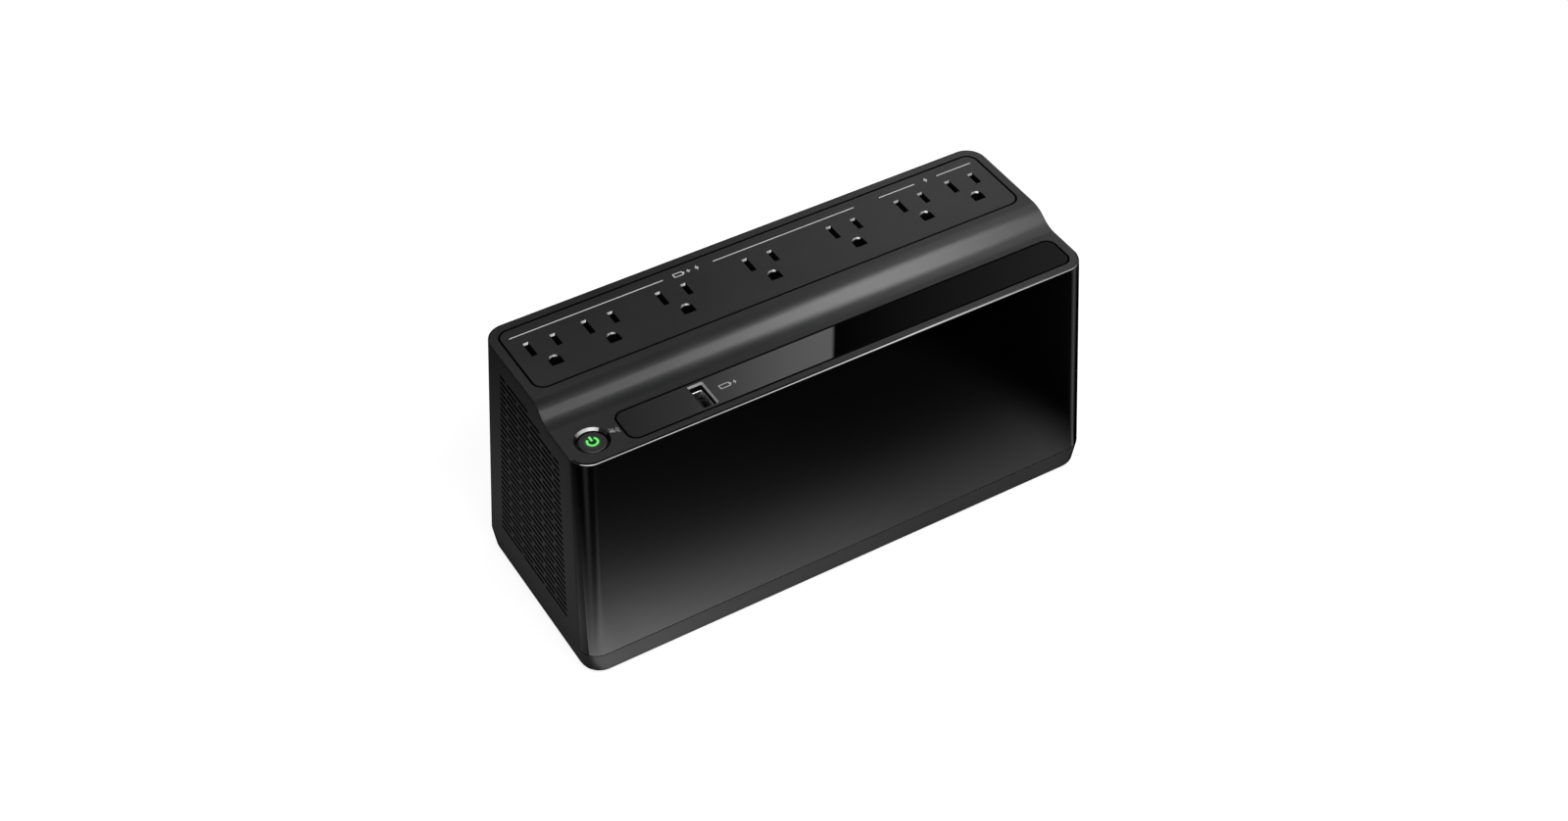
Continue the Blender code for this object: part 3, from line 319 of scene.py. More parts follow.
class Finish(Nodes):
    """A material with one Principled shader and the nodes that feed it."""

    def __init__(self, name, **constants):
        self.material = bpy.data.materials.new(name)
        self.material.use_nodes = True
        super().__init__(self.material.node_tree)
        self.shader = self.tree.nodes["Principled BSDF"]
        self.set(**constants)

    def set(self, **inputs):
        for socket, value in inputs.items():
            self.put(self.shader.inputs[socket.replace("_", " ")], value)

    def show(self, surface):
        """Puts another shader in the Principled one's place."""
        self.put(self.tree.nodes["Material Output"].inputs["Surface"], surface)

    def place(self):
        return self.node("ShaderNodeTexCoord", out="Object")

    def apart(self):
        """Object coordinates split into X, Y and Z."""
        return self.node("ShaderNodeSeparateXYZ", {0: self.place()})

    def noise(self, scale, detail, rough, place=None):
        sockets = {"Vector": place or self.place(), "Scale": scale, "Detail": detail, "Roughness": rough}
        return self.node("ShaderNodeTexNoise", sockets)

    def blend(self, share, first, second):
        """Colour mix: first where share is 0, second where it is 1."""
        return self.node("ShaderNodeMix", {0: share, 6: first, 7: second}, out=2, data_type="RGBA")

    def tone(self, share, level, spread, tint=(1.0, 1.0, 1.0)):
        """Grey that goes from the share spread below level to as much above it, with a tint there."""
        return self.blend(share, grey(level * (1 - spread)), grey(level * (1 + spread), tint))

    def bump(self, height, strength, distance):
        sockets = {"Strength": strength, "Distance": distance, "Height": height}
        return self.node("ShaderNodeBump", sockets, out="Normal")

    def emission(self, colour, strength):
        return self.node("ShaderNodeEmission", {"Color": colour, "Strength": strength})


def opaque(colour, share=1.0):
    """The colour times share, with full alpha."""
    return tuple(share * part for part in colour) + (1.0,)


def grey(level, tint=(1.0, 1.0, 1.0)):
    return opaque(tint, level)


# Patterns of the finishes: cycles per metre, detail and roughness
CLOUD = (38.0, 3.0, 0.55)
SMEAR = (55.0, 4.0, 0.6)
RIPPLE = (90.0, 1.0, 0.4)
GUIDE = (900.0, 2.0, 0.5)

# Detail and roughness of patterns whose cycles each finish gives, and drawn metal's cycles along X, Y and Z
GRAIN = (2.0, 0.6)
COAT = (3.0, 0.6)
DRAWN = (120.0, 5000.0, 5000.0)

# How far the patterns sway gloss and surface
GRAIN_GLOSS = (-0.05, 0.05)
CLOUD_GLOSS = (-0.03, 0.03)
GRAIN_BUMP = 0.35
COAT_BUMP = (0.1, 0.0002)
RIPPLE_BUMP = (0.02, 0.0002)


def moulded(name, level, rough, grain, depth, **constants):
    """Moulded plastic: fine spark-eroded grain, faint cloudiness in tone and in gloss."""
    finish = Finish(name, **constants)
    place = finish.place()
    fine = finish.noise(grain, *GRAIN, place)
    cloud = finish.noise(*CLOUD, place)
    finish.set(Base_Color=finish.tone(cloud, level, spread=0.2, tint=(1.0, 1.0, 1.03)),
               Roughness=rough + fine.between(*GRAIN_GLOSS) + cloud.between(*CLOUD_GLOSS),
               Normal=finish.bump(fine, GRAIN_BUMP, depth))
    return finish.material


def polished(name, level, rough, ior=1.5):
    """Polished black plastic: deep colour, a clear coat, a trace of handling and slight waviness."""
    finish = Finish(name, Coat_Weight=1.0, Coat_Roughness=rough, IOR=ior)
    place = finish.place()
    smear = finish.noise(*SMEAR, place)
    ripple = finish.noise(*RIPPLE, place)
    finish.set(Base_Color=finish.tone(smear, level, spread=0.3, tint=(1.0, 1.0, 1.08)),
               Roughness=rough * smear.between(0.6, 1.4), Normal=finish.bump(ripple, *RIPPLE_BUMP))
    return finish.material


def metal(name, colour, rough):
    """Drawn sheet metal: fine lines along X that change the gloss."""
    finish = Finish(name, Metallic=1.0)
    drawn = finish.node("ShaderNodeMapping", {"Vector": finish.place(), "Scale": DRAWN})
    lines = finish.noise(1.0, detail=2.0, rough=0.5, place=drawn)
    finish.set(Base_Color=finish.blend(lines, opaque(colour, share=0.75), opaque(colour)),
               Roughness=rough * lines.between(0.7, 1.3))
    return finish.material


def coated(name, colour, rough, scale):
    """Painted, lacquered or sleeved surface with cloudy tone and gloss."""
    finish = Finish(name)
    cloud = finish.noise(scale, *COAT)
    finish.set(Base_Color=finish.blend(cloud, opaque(colour, share=0.7), opaque(colour)),
               Roughness=rough * cloud.between(0.8, 1.2), Normal=finish.bump(cloud, *COAT_BUMP))
    return finish.material


def backlit(name, level, rough, grain, depth, centre, radii, colour):
    """Moulded cap with a green glow that fades out between two radii round its lit mark."""
    finish = Finish(name, Emission_Strength=1.0)
    place = finish.place()
    fine = finish.noise(grain, *GRAIN, place)
    flat = finish.node("ShaderNodeVectorMath", {0: place, 1: (1.0, 1.0, 0.0)}, operation="MULTIPLY")
    middle = (centre[0] * MM, centre[1] * MM, 0.0)
    away = finish.node("ShaderNodeVectorMath", {0: flat, 1: middle}, out="Value", operation="DISTANCE")
    glow = away.ramp(radii[0] * MM, radii[1] * MM, 1.0, 0.0)
    finish.set(Base_Color=finish.tone(fine, level, spread=0.15), Roughness=rough + fine.between(*GRAIN_GLOSS),
               Emission_Color=finish.blend(glow, grey(0.0), opaque(colour)),
               Normal=finish.bump(fine, GRAIN_BUMP, depth))
    return finish.material


def glowing(name, colour, level=0.035, specular=0.5):
    """Lit window: brightest where the light guide behind it is densest."""
    finish = Finish(name, Roughness=0.35, Emission_Strength=1.0, Specular_IOR_Level=specular)
    cloud = finish.noise(*GUIDE)
    finish.set(Base_Color=finish.tone(cloud, level, spread=0.4),
               Emission_Color=finish.blend(cloud, opaque(colour), opaque(colour, share=1.25)))
    return finish.material


CASE = moulded("case_plastic", level=0.0118, rough=0.34, grain=3800.0, depth=0.00004)
# Painted shade: near-black matt plastic on surfaces that lie in shade, the groove and hole walls, slit sides,
# seam strip, edge lines and the unlit sides of chamfers, lead-ins and the port's bevel
PAINTED_SHADE = moulded("painted_shade_plastic", level=0.001, rough=0.8, grain=3000.0, depth=0.00003, Specular_IOR_Level=0.04)
# Painted highlight: pale grey on the port bevel's rear and right sides and on the port sleeve's right flat,
# where light falls
PAINTED_HIGHLIGHT = moulded("painted_highlight_bevel", level=0.28, rough=0.6, grain=4200.0, depth=0.00001, Specular_IOR_Level=0.1)
INNER = moulded("inner_plastic", level=0.02, rough=0.5, grain=3000.0, depth=0.00003)
RUBBER = moulded("foot_rubber", level=0.009, rough=0.75, grain=2200.0, depth=0.00008)
GLOSS = polished("gloss_plastic", level=0.0006, rough=0.016)
BRIGHT_EDGE = polished("bright_edge", level=0.0006, rough=0.016, ior=2.6)
CHAMFER = polished("polished_chamfer", level=0.004, rough=0.08, ior=1.6)
LEAD_IN = polished("polished_lead_in", level=0.004, rough=0.08, ior=1.65)
BUTTON_SKIN = backlit("button_plastic", level=0.0140, rough=0.42, grain=5200.0, depth=0.00002, centre=BUTTON,
                      radii=(2.4, 4.2), colour=(0.002, 0.075, 0.004))
STEEL = metal("shell_steel", (0.62, 0.62, 0.63), rough=0.26)
BRASS = metal("brass", (0.72, 0.53, 0.22), rough=0.3)
IRON = metal("core_iron", (0.2, 0.2, 0.21), rough=0.5)
COPPER = metal("coil_copper", (0.45, 0.17, 0.07), rough=0.4)
ALLOY = metal("heat_sink_alloy", (0.5, 0.51, 0.52), rough=0.4)
BOARD = coated("circuit_board", (0.02, 0.14, 0.05), rough=0.45, scale=300.0)
BATTERY = coated("battery_case", (0.06, 0.06, 0.065), rough=0.5, scale=120.0)
SLEEVE = coated("capacitor_sleeve", (0.03, 0.04, 0.12), rough=0.35, scale=400.0)
RESET = coated("reset_cap", (0.45, 0.03, 0.025), rough=0.4, scale=500.0)
PRINT = coated("white_print", (0.70, 0.70, 0.70), rough=0.55, scale=1500.0)
FAINT_PRINT = coated("grey_print", (0.44, 0.44, 0.44), rough=0.55, scale=1500.0)
DIM_PRINT = coated("dim_print", (0.27, 0.27, 0.27), rough=0.55, scale=1500.0)
GREEN = glowing("green_light", (0.15, 0.66, 0.16))
WINDOW = glowing("dark_window", (0.0015, 0.05, 0.003), level=0.001, specular=0.03)


# Surfaces, whose faces take the first, second or third finish of their piece; DARK, where named, picks the
# painted shade and LIT the finish of the side that faces the light
PLAIN, DARK, LIT = range(3)


def linked(name, data):
    """Object with the data, in the scene."""
    made = bpy.data.objects.new(name, data)
    bpy.context.scene.collection.objects.link(made)
    return made


class Skin:
    """Grids and flat faces, in millimetres, that close into one surface."""

    def __init__(self):
        self.points = []
        self.faces = []
        self.kinds = []
        self.size = 0

    def add(self, points, faces, kind):
        self.points.append(np.asarray(points, float).reshape(-1, 3))
        self.faces += (np.asarray(faces) + self.size).tolist()
        self.kinds += np.broadcast_to(kind, len(faces)).tolist()
        self.size += len(self.points[-1])

    def grid(self, points, closed=True, kind=PLAIN):
        """Quads between the neighbours of an (m, n, 3) array; closed joins its last row to its first.

        Kind picks the finish, for all quads or for each row of them.
        """
        index = np.arange(points.shape[0] * points.shape[1]).reshape(points.shape[:2])
        if closed:
            index = np.vstack([index, index[:1]])
        quads = np.stack([index[:-1, :-1], index[1:, :-1], index[1:, 1:], index[:-1, 1:]], axis=-1)
        kinds = np.broadcast_to(np.reshape(kind, (-1, 1)), quads.shape[:2])
        self.add(points, quads.reshape(-1, 4), kinds.ravel())

    def flat(self, *loops):
        """Triangles that fill the first loop and leave the others open."""
        triangles = tessellate_polygon([list(map(Vector, loop.tolist())) for loop in loops])
        self.add(np.concatenate(loops), triangles, PLAIN)

    def make(self, name, *materials):
        """Piece with the grids and flats so far, in the given finishes."""
        mesh = bpy.data.meshes.new(name)
        mesh.from_pydata((np.concatenate(self.points) * MM).tolist(), [], self.faces)
        mesh.polygons.foreach_set("material_index", self.kinds)
        return finished(name, mesh, materials)


def finished(name, mesh, materials):
    """Joins doubled points, turns faces outwards and keeps edges sharp past SHARP_TURN."""
    work = bmesh.new()
    work.from_mesh(mesh)
    bmesh.ops.remove_doubles(work, verts=work.verts, dist=WELD)
    bmesh.ops.recalc_face_normals(work, faces=work.faces)
    work.to_mesh(mesh)
    work.free()
    for material in materials:
        mesh.materials.append(material)
    mesh.shade_smooth()
    mesh.set_sharp_from_angle(angle=SHARP_TURN)
    return linked(name, mesh)


def settle(piece, slot, *nodes, body="case"):
    """The piece rides on its body and stands for the nodes; the slot is not used."""
    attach(piece, body)
    if nodes:
        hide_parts(*nodes)


def half_x(z):
    """Half the case's length at a height, where the end walls lean in."""
    return CASE_LENGTH / 2 - DRAFT * (z - SEAM_Z)


def half_y(z):
    """Half the case's depth at a height, where the front and rear lean in."""
    return CASE_DEPTH / 2 - DRAFT * (z - SEAM_Z)


def corner(side_x, side_y, start, stop):
    """Corner arc as rows of side in x, side in y, turn and no fixed y."""
    turns = np.radians(np.linspace(start, stop, CORNER_STEPS + 1))
    return np.column_stack(np.broadcast_arrays(side_x, side_y, turns, np.nan))


def end_rows(side_x, y):
    """Rows on a straight end wall at the given y."""
    turn = 0.0 if side_x > 0 else math.pi
    return np.column_stack(np.broadcast_arrays(side_x, 0.0, turn, y))


def rim(path, inset, z):
    """Case outline moved in by inset at height z, as an (n, m, 3) array.

    A corner centre stands CORNER_R inside both leaning walls and the point lies CORNER_R - inset
    from it in the direction turn; a row with a fixed y lies on the straight end wall instead.
    """
    side_x, side_y, turn, fixed = path.T[:, :, None]
    reach = CORNER_R - inset
    x = side_x * (half_x(z) - CORNER_R) + reach * np.cos(turn)
    y = side_y * (half_y(z) - CORNER_R) + reach * np.sin(turn)
    y = np.where(np.isnan(fixed), y, fixed)
    return np.stack(np.broadcast_arrays(x, y, z), axis=-1)


def rounded(edge, depth):
    """Sections of an upper edge: level, a quarter round of radius edge, then straight down to depth.

    Edge and depth are columns of one value for each section, or single values.
    """
    edge, depth = np.atleast_1d(edge), np.atleast_1d(depth)
    turn = np.linspace(0, math.pi / 2, EDGE_STEPS + 1)
    zero = 0.0 * edge
    inset = np.concatenate([edge + SUPPORT, edge * (1 - np.sin(turn)), zero], axis=-1)
    drop = np.concatenate([zero, edge * (1 - np.cos(turn)), depth], axis=-1)
    return inset, drop


def bevelled(edge, depth):
    """Section of an upper edge: a bevel as wide as it is deep, then straight down to depth."""
    return np.array([edge, 0.0, 0.0]), np.array([0.0, edge, depth])


def round_box(x, y, width, length, radius, steps=10):
    """Rectangle with round corners as an (n, 2) loop."""
    turns = np.radians(np.array([[-90], [0], [90], [180]]) + np.linspace(0, 90, steps + 1))
    sides = np.array([[1, -1], [1, 1], [-1, 1], [-1, -1]])[:, None, :]
    centres = np.array([x, y]) + sides * (np.array([width, length]) / 2 - radius)
    around = np.stack([np.cos(turns), np.sin(turns)], axis=-1)
    return (centres + radius * around).reshape(-1, 2)


def circle(x, y, radius, steps=72):
    """Round loop about a centre."""
    turns = np.linspace(0, 2 * math.pi, steps, endpoint=False)
    return np.column_stack([x + radius * np.cos(turns), y + radius * np.sin(turns)])


def at(loop, z):
    """The loop's points at height z."""
    return np.column_stack([loop, np.full(len(loop), z)])


def rings(outline, grow, height):
    """Loops outline(grow) at each height as an (n, m, 3) array, so that row ends are the first and last."""
    return np.stack([at(outline(g), h) for g, h in zip(grow, height)], axis=1)


def strides(loop):
    """From each point of a closed loop to the next."""
    return np.roll(loop, -1, axis=0) - loop


# Case
def step_line():
    """Rows of the step as y and z: a convex arc, a straight slope and a concave arc."""
    turn = np.linspace(0, SWOOP_SLOPE, SWOOP_STEPS + 1)
    fall = SWOOP_R * (1 - math.cos(SWOOP_SLOPE))
    slope = (DECK_Z - LOW_Z - 2 * fall) / math.tan(SWOOP_SLOPE)
    foot = SWOOP_Y - 2 * SWOOP_R * math.sin(SWOOP_SLOPE) - slope
    y = np.concatenate([SWOOP_Y - SWOOP_R * np.sin(turn), foot + SWOOP_R * np.sin(turn[::-1])])
    z = np.concatenate([DECK_Z - SWOOP_R * (1 - np.cos(turn)), LOW_Z + SWOOP_R * (1 - np.cos(turn[::-1]))])
    return y, z


def panel_outline(grow):
    """Round-cornered outline of the outlet plate, grown all round."""
    return round_box(0, PANEL_Y, 2 * (PANEL_HALF_X + grow), PANEL_W + 2 * grow, PANEL_R + grow)


def strip_outline(grow):
    """Round-cornered outline of the status strip, grown all round."""
    length = STRIP_X[1] - STRIP_X[0] + 2 * grow
    return round_box(sum(STRIP_X) / 2, STRIP_Y, length, STRIP_W + 2 * grow, STRIP_R + grow)


def button_outline(grow):
    """Outline of the button's bore, grown all round."""
    return circle(*BUTTON, BUTTON_BORE + grow)


def top_cover():
    """Deck: the step line drawn across the case, closed by a rounded rim and pierced by three openings."""
    y, z = step_line()
    upper = [end_rows(1, y[:1]), corner(1, 1, 0, 90), corner(-1, 1, 90, 180), end_rows(-1, y[:1])]
    lower = [end_rows(-1, y[-1:]), corner(-1, -1, 180, 270), corner(1, -1, 270, 360), end_rows(1, y[-1:])]
    parts = [np.vstack(upper), end_rows(-1, y[1:-1]), np.vstack(lower), end_rows(1, y[-2:0:-1])]
    heights = [np.full(len(parts[0]), DECK_Z), z[1:-1], np.full(len(parts[2]), LOW_Z), z[-2:0:-1]]
    path = np.vstack(parts)
    height = np.concatenate(heights)[:, None]
    turn = np.degrees(path[:, 2])
    past = np.where(path[:, 1] < 0, np.minimum(turn - 180, 360 - turn) - SPLIT_DEG, -1.0)
    front = np.clip(past, 0, 1)[:, None]
    rear = np.where(path[:, 1] > 0, np.sin(path[:, 2]), 0.0)[:, None]
    set_back = (FRONT_LIP + LIP_GROOVE) * front
    edge = COVER_EDGE + (COVER_FRONT_EDGE - COVER_EDGE) * front + (COVER_REAR_EDGE - COVER_EDGE) * rear
    foot = np.full_like(edge, COVER_LIP + GAP - DECK_SEAM)
    inset, drop = rounded(edge, foot)
    inner = np.full_like(edge, WALL + GAP)
    insets = np.hstack([set_back + inset, inner, inner])
    drops = np.hstack([drop, foot, np.full_like(edge, COVER_T)])
    shell = rim(path, insets, height - drops)
    skin = Skin()
    # Painted shade: a dark line along the rear edge, the front edge's rounding, the openings' walls and the
    # bore
    shaded = np.where(rear[:, 0] > 0.5, DARK, PLAIN)
    skin.grid(shell[:, :2], kind=shaded)
    skin.grid(shell[:, 1:EDGE_STEPS + 2], kind=np.where(front[:, 0] > 0.5, DARK, shaded))
    skin.grid(shell[:, EDGE_STEPS + 1:])
    ends = np.cumsum([len(part) for part in parts])
    edge, fall = bevelled(INSERT_EDGE, COVER_T)
    panel = rings(lambda g: panel_outline(GROOVE / 2 + g), edge, DECK_Z - fall)
    strip = rings(lambda g: strip_outline(GROOVE / 2 + g), edge, LOW_Z - fall)
    flare = np.array([BUTTON_CHAMFER + SUPPORT, BUTTON_CHAMFER])
    button = rings(button_outline, flare, np.array([LOW_Z, LOW_Z]))
    chamfer = rings(button_outline, [BUTTON_CHAMFER, 0.0], LOW_Z - np.array([0, BUTTON_CHAMFER]))
    bore = rings(button_outline, [0.0, 0.0], LOW_Z - np.array([BUTTON_CHAMFER, COVER_T]))
    # Painted shade on the button chamfer outside the turns BUTTON_LIT, which keep their polish
    turn = np.linspace(0, 360, len(chamfer), endpoint=False)
    lit = (turn >= BUTTON_LIT[0]) & (turn < BUTTON_LIT[1])
    skin.grid(panel, kind=DARK)
    skin.grid(strip, kind=DARK)
    skin.grid(button)
    skin.grid(chamfer, kind=np.where(lit, LIT, DARK))
    skin.grid(bore, kind=DARK)
    for side in (0, -1):
        ring = shell[:, side]
        skin.flat(ring[:ends[0]], panel[:, side])
        skin.flat(ring[ends[1]:ends[2]], strip[:, side], (button if side == 0 else bore)[:, side])
        left = np.vstack([ring[ends[0] - 1], ring[ends[0]:ends[1]], ring[ends[1]]])
        right = np.vstack([ring[ends[2] - 1], ring[ends[2]:], ring[0]])[::-1]
        skin.grid(np.stack([left, right], axis=1), closed=False)
    settle(skin.make("deck_cover", CASE, PAINTED_SHADE, CHAMFER), "case_plastic", "top_cover")


def front_panel():
    """Polished front: a wall section with a rounded lip, carried round both front corners."""
    start = SPLIT_DEG + math.degrees(SEAM_SHOWN / CORNER_R)
    path = np.vstack([corner(-1, -1, 180 + start, 270), corner(1, -1, 270, 360 - start)])
    inset, drop = rounded(FRONT_LIP, COVER_LIP)
    lip_in, lip_z = inset[1:-1][::-1], LOW_Z - drop[1:-1][::-1]
    foot_in, foot_drop = rounded(FRONT_FOOT, COVER_LIP)
    foot_z = SEAM_Z + GAP / 2
    seat = LOW_Z - COVER_LIP - GAP
    section_in = np.concatenate([[WALL], foot_in[1:-1], lip_in, [FRONT_LIP, WALL]])
    section_z = np.concatenate([[foot_z], foot_z + foot_drop[1:-1], lip_z, [seat, seat]])
    wall = rim(path, section_in, section_z)
    bright_row = len(foot_in) + EDGE_STEPS // 2 - 2
    bright = np.arange(len(section_in)) == bright_row
    skin = Skin()
    skin.grid(np.swapaxes(wall, 0, 1), kind=bright.astype(int))
    skin.flat(wall[0])
    skin.flat(wall[-1])
    settle(skin.make("gloss_front", GLOSS, BRIGHT_EDGE), "gloss_plastic", "front_panel")


def softened(node, name, material, slot, width, body="case"):
    """Copy of a node with its triangles joined, its curves smooth and its edges rounded by width."""
    mesh = frame["nodes"][node].data.copy()
    mesh.materials.clear()
    work = bmesh.new()
    work.from_mesh(mesh)
    bmesh.ops.remove_doubles(work, verts=work.verts, dist=WELD)
    bmesh.ops.dissolve_limit(work, angle_limit=FLAT_TURN, verts=work.verts, edges=work.edges)
    work.to_mesh(mesh)
    work.free()
    piece = finished(name, mesh, [material])
    bevel = piece.modifiers.new("Edges", "BEVEL")
    bevel.width = width * MM
    bevel.segments = ROUND_SEGMENTS
    bevel.limit_method = "ANGLE"
    bevel.angle_limit = BEVEL_TURN
    bevel.harden_normals = True
    bevel.use_clamp_overlap = True
    settle(piece, slot, node, body=body)
    return piece


def end_panel(side):
    """End wall whose slits get painted shade on their inner sides."""
    piece = softened(side + "_end_panel", side + "_end", CASE, "case_plastic", END_ROUND)
    piece.data.materials.append(PAINTED_SHADE)
    for face in piece.data.polygons:
        _, y, z = face.center / MM
        inside = abs(y) < half_y(z) - VENT_SIDE and VENT_LOW < z < LOW_Z - COVER_T
        # Painted shade on the slits' inner faces
        if inside and abs(face.normal.x) < 0.5:
            face.material_index = DARK


def seam_shadow():
    """Strip of painted shadow all round the seam between the tray and the walls."""
    quarters = ((1, -1, -90), (1, 1, 0), (-1, 1, 90), (-1, -1, 180))
    path = np.vstack([corner(side_x, side_y, turn, turn + 90) for side_x, side_y, turn in quarters])
    low, high = SEAM_Z - SEAM_SHADOW_H / 2, SEAM_Z + SEAM_SHADOW_H / 2
    section = rim(path, np.array([WALL, SEAM_SHADOW_IN, SEAM_SHADOW_IN, WALL, WALL]), np.array([low, low, high, high, low]))
    skin = Skin()
    skin.grid(section)
    settle(skin.make("seam_shadow", PAINTED_SHADE), "inner_plastic")


def case_pieces():
    top_cover()
    front_panel()
    softened("rear_panel", "back_wall", CASE, "case_plastic", WALL_ROUND)
    end_panel("left")
    end_panel("right")
    softened("base_tray", "tray", CASE, "case_plastic", TRAY_ROUND)
    seam_shadow()
    for side in ("front_left", "front_right", "rear_left", "rear_right"):
        softened("foot_" + side, "pad_" + side, RUBBER, "foot_rubber", FOOT_ROUND)


# Deck inserts
def slot_loop(x, length, side, end):
    """Round-cornered blade slot, grown at its sides and its ends."""
    return round_box(x, SLOT_Y, SLOT_W + 2 * side, length + 2 * end, SLOT_R, steps=3)


def ground_loop(x, side, back, front):
    """Half ellipse towards the slots, straight sides and a flat towards the front, grown each way."""
    r = GROUND_W / 2
    turn = np.linspace(0, math.pi, GROUND_STEPS + 1)
    arc = np.column_stack([x + (r + side) * np.cos(turn), GROUND_Y + (r + back) * np.sin(turn)])
    flat_y = GROUND_Y - GROUND_FLAT - front
    return np.vstack([[[x - r - side, flat_y], [x + r + side, flat_y]], arc])


def turned_back(loop):
    """For each stretch of a loop that runs anticlockwise, whether it lies on the rear side."""
    across, along = strides(loop)[:, :2].T
    return -across > REAR_SIDE * np.hypot(across, along)


def hole(skin, loop, lead, depth, top):
    """Hole through the outlet plate: a lead-in that narrows by lead, then a well with a thin wall; the well
    and all but the lead-in's rear side get painted shade.

    Loop takes growths and gives back a closed outline; the first and last rings stay level with the plate.
    """
    still = np.zeros(len(lead))
    level = [(lead + SUPPORT / 2, 0), (lead, 0)]
    mouth = [(lead, 0), (still, depth)]
    wall = still + WELL_WALL
    well = [(still, depth), (still, WELL_DEPTH), (wall, WELL_DEPTH), (wall, INSERT_T)]
    level, well, mouth = (np.stack([at(loop(*grow), top - fall) for grow, fall in part], axis=1)
                          for part in (level, well, mouth))
    skin.grid(level)
    skin.grid(well, kind=DARK)
    skin.grid(mouth, kind=np.where(turned_back(mouth[:, 0]), LIT, DARK))
    return level[:, 0], well[:, -1]


def outlet_plate():
    """Flat plate whose slots and ground holes narrow through a lead-in."""
    top = DECK_Z - PRINT_SINK
    edge, fall = bevelled(INSERT_EDGE, INSERT_T)
    outer = rings(lambda g: panel_outline(-GROOVE / 2 - g), edge, top - fall)
    skin = Skin()
    # Painted shade on the plate's bevelled edge and the wall that faces the groove
    skin.grid(outer, kind=DARK)
    ends = []
    for x in OUTLET_X:
        for side, length in ((-1, NEUTRAL_L), (1, LINE_L)):
            loop = partial(slot_loop, x + side * BLADE_HALF, length)
            ends.append(hole(skin, loop, np.array(LEAD_SLOT), LEAD_DEPTH, top))
        ends.append(hole(skin, partial(ground_loop, x), np.array(LEAD_GROUND), LEAD_GROUND_DEPTH, top))
    for side, loops in ((0, [end[0] for end in ends]), (-1, [end[1] for end in ends])):
        skin.flat(outer[:, side], *loops)
    settle(skin.make("outlet_plate", CASE, PAINTED_SHADE, LEAD_IN), "case_plastic", "outlet_panel")


def port_loop(grow):
    """Round-cornered port opening, grown all round."""
    return round_box(*PORT, PORT_W + 2 * grow, PORT_L + 2 * grow, PORT_R + max(grow, 0) / 2, steps=5)


def status_strip():
    """Polished insert with a bevelled opening that runs down into a short collar."""
    edge, fall = bevelled(INSERT_EDGE, INSERT_T)
    outer = rings(lambda g: strip_outline(-GROOVE / 2 - g), edge, LOW_Z - fall)
    foot = LOW_Z - INSERT_T - PORT_COLLAR
    level = rings(port_loop, [PORT_BEVEL + SUPPORT, PORT_BEVEL], [LOW_Z, LOW_Z])
    bevel = rings(port_loop, [PORT_BEVEL, 0.0], [LOW_Z, LOW_Z - PORT_BEVEL])
    throat = rings(port_loop, [0.0, 0.0], [LOW_Z - PORT_BEVEL, foot])
    collar = rings(port_loop, [PORT_COLLAR, PORT_COLLAR, 0.0], [LOW_Z - INSERT_T, foot, foot])
    skin = Skin()
    # Painted shade on the groove wall, the bevel's front and left sides and the throat; painted highlight on
    # the bevel's rear and right sides
    skin.grid(outer, kind=DARK)
    across, along = strides(bevel[:, 0])[:, :2].T
    pale = np.where((along > 0) | (across < -PORT_PALE * np.abs(along)), LIT, DARK)
    for surface, kind in ((level, PLAIN), (bevel, pale), (throat, DARK), (collar, PLAIN)):
        skin.grid(surface, kind=kind)
    skin.flat(outer[:, 0], level[:, 0])
    skin.flat(outer[:, -1], collar[:, 0])
    settle(skin.make("gloss_strip", GLOSS, PAINTED_SHADE, PAINTED_HIGHLIGHT), "gloss_plastic", "status_strip")


def capped(name, material, surface):
    """Piece of one surface with flat ends."""
    skin = Skin()
    skin.grid(surface)
    skin.flat(surface[:, 0])
    skin.flat(surface[:, -1])
    return skin.make(name, material)


def power_button():
    """Round cap with a rounded edge and a faintly dished top, on a flange and a stem."""
    top = LOW_Z - BUTTON_SINK
    flange = LOW_Z - COVER_T - GAP
    under = flange - FLANGE_T
    turn = np.linspace(0, math.pi / 2, EDGE_STEPS + 1)
    share = np.linspace(1, BUTTON_MIDDLE, BUTTON_RINGS)
    crown_r = BUTTON_R - BUTTON_EDGE
    edge_r = crown_r + BUTTON_EDGE * np.cos(turn)
    edge_z = top - BUTTON_EDGE * (1 - np.sin(turn))
    dish_z = top - BUTTON_DISH * (1 - share ** 2)
    radii = np.concatenate([[STEM_R, STEM_R, FLANGE_R, FLANGE_R, BUTTON_R], edge_r, crown_r * share[1:]])
    heights = np.concatenate([[under - STEM_L, under, under, flange, flange], edge_z, dish_z[1:]])
    surface = rings(lambda r: circle(*BUTTON, r, steps=96), radii, heights)
    settle(capped("button_cap", BUTTON_SKIN, surface), "button_plastic", "power_button", body="button")


def port_contact(name, y, low, high):
    """Brass strip on the tongue, with its upper end on a slant."""
    left, right = (PORT[0] - PORT_W / 2 + x for x in CONTACT_X)
    loop = round_box((left + right) / 2, y, right - left, CONTACT_W, CONTACT_R, steps=2)
    column = np.stack([at(loop, low), at(loop, high)], axis=1)
    column[:, 1, 2] += loop[:, 1] - y - CONTACT_W / 2
    settle(capped(name, BRASS, column), "brass")


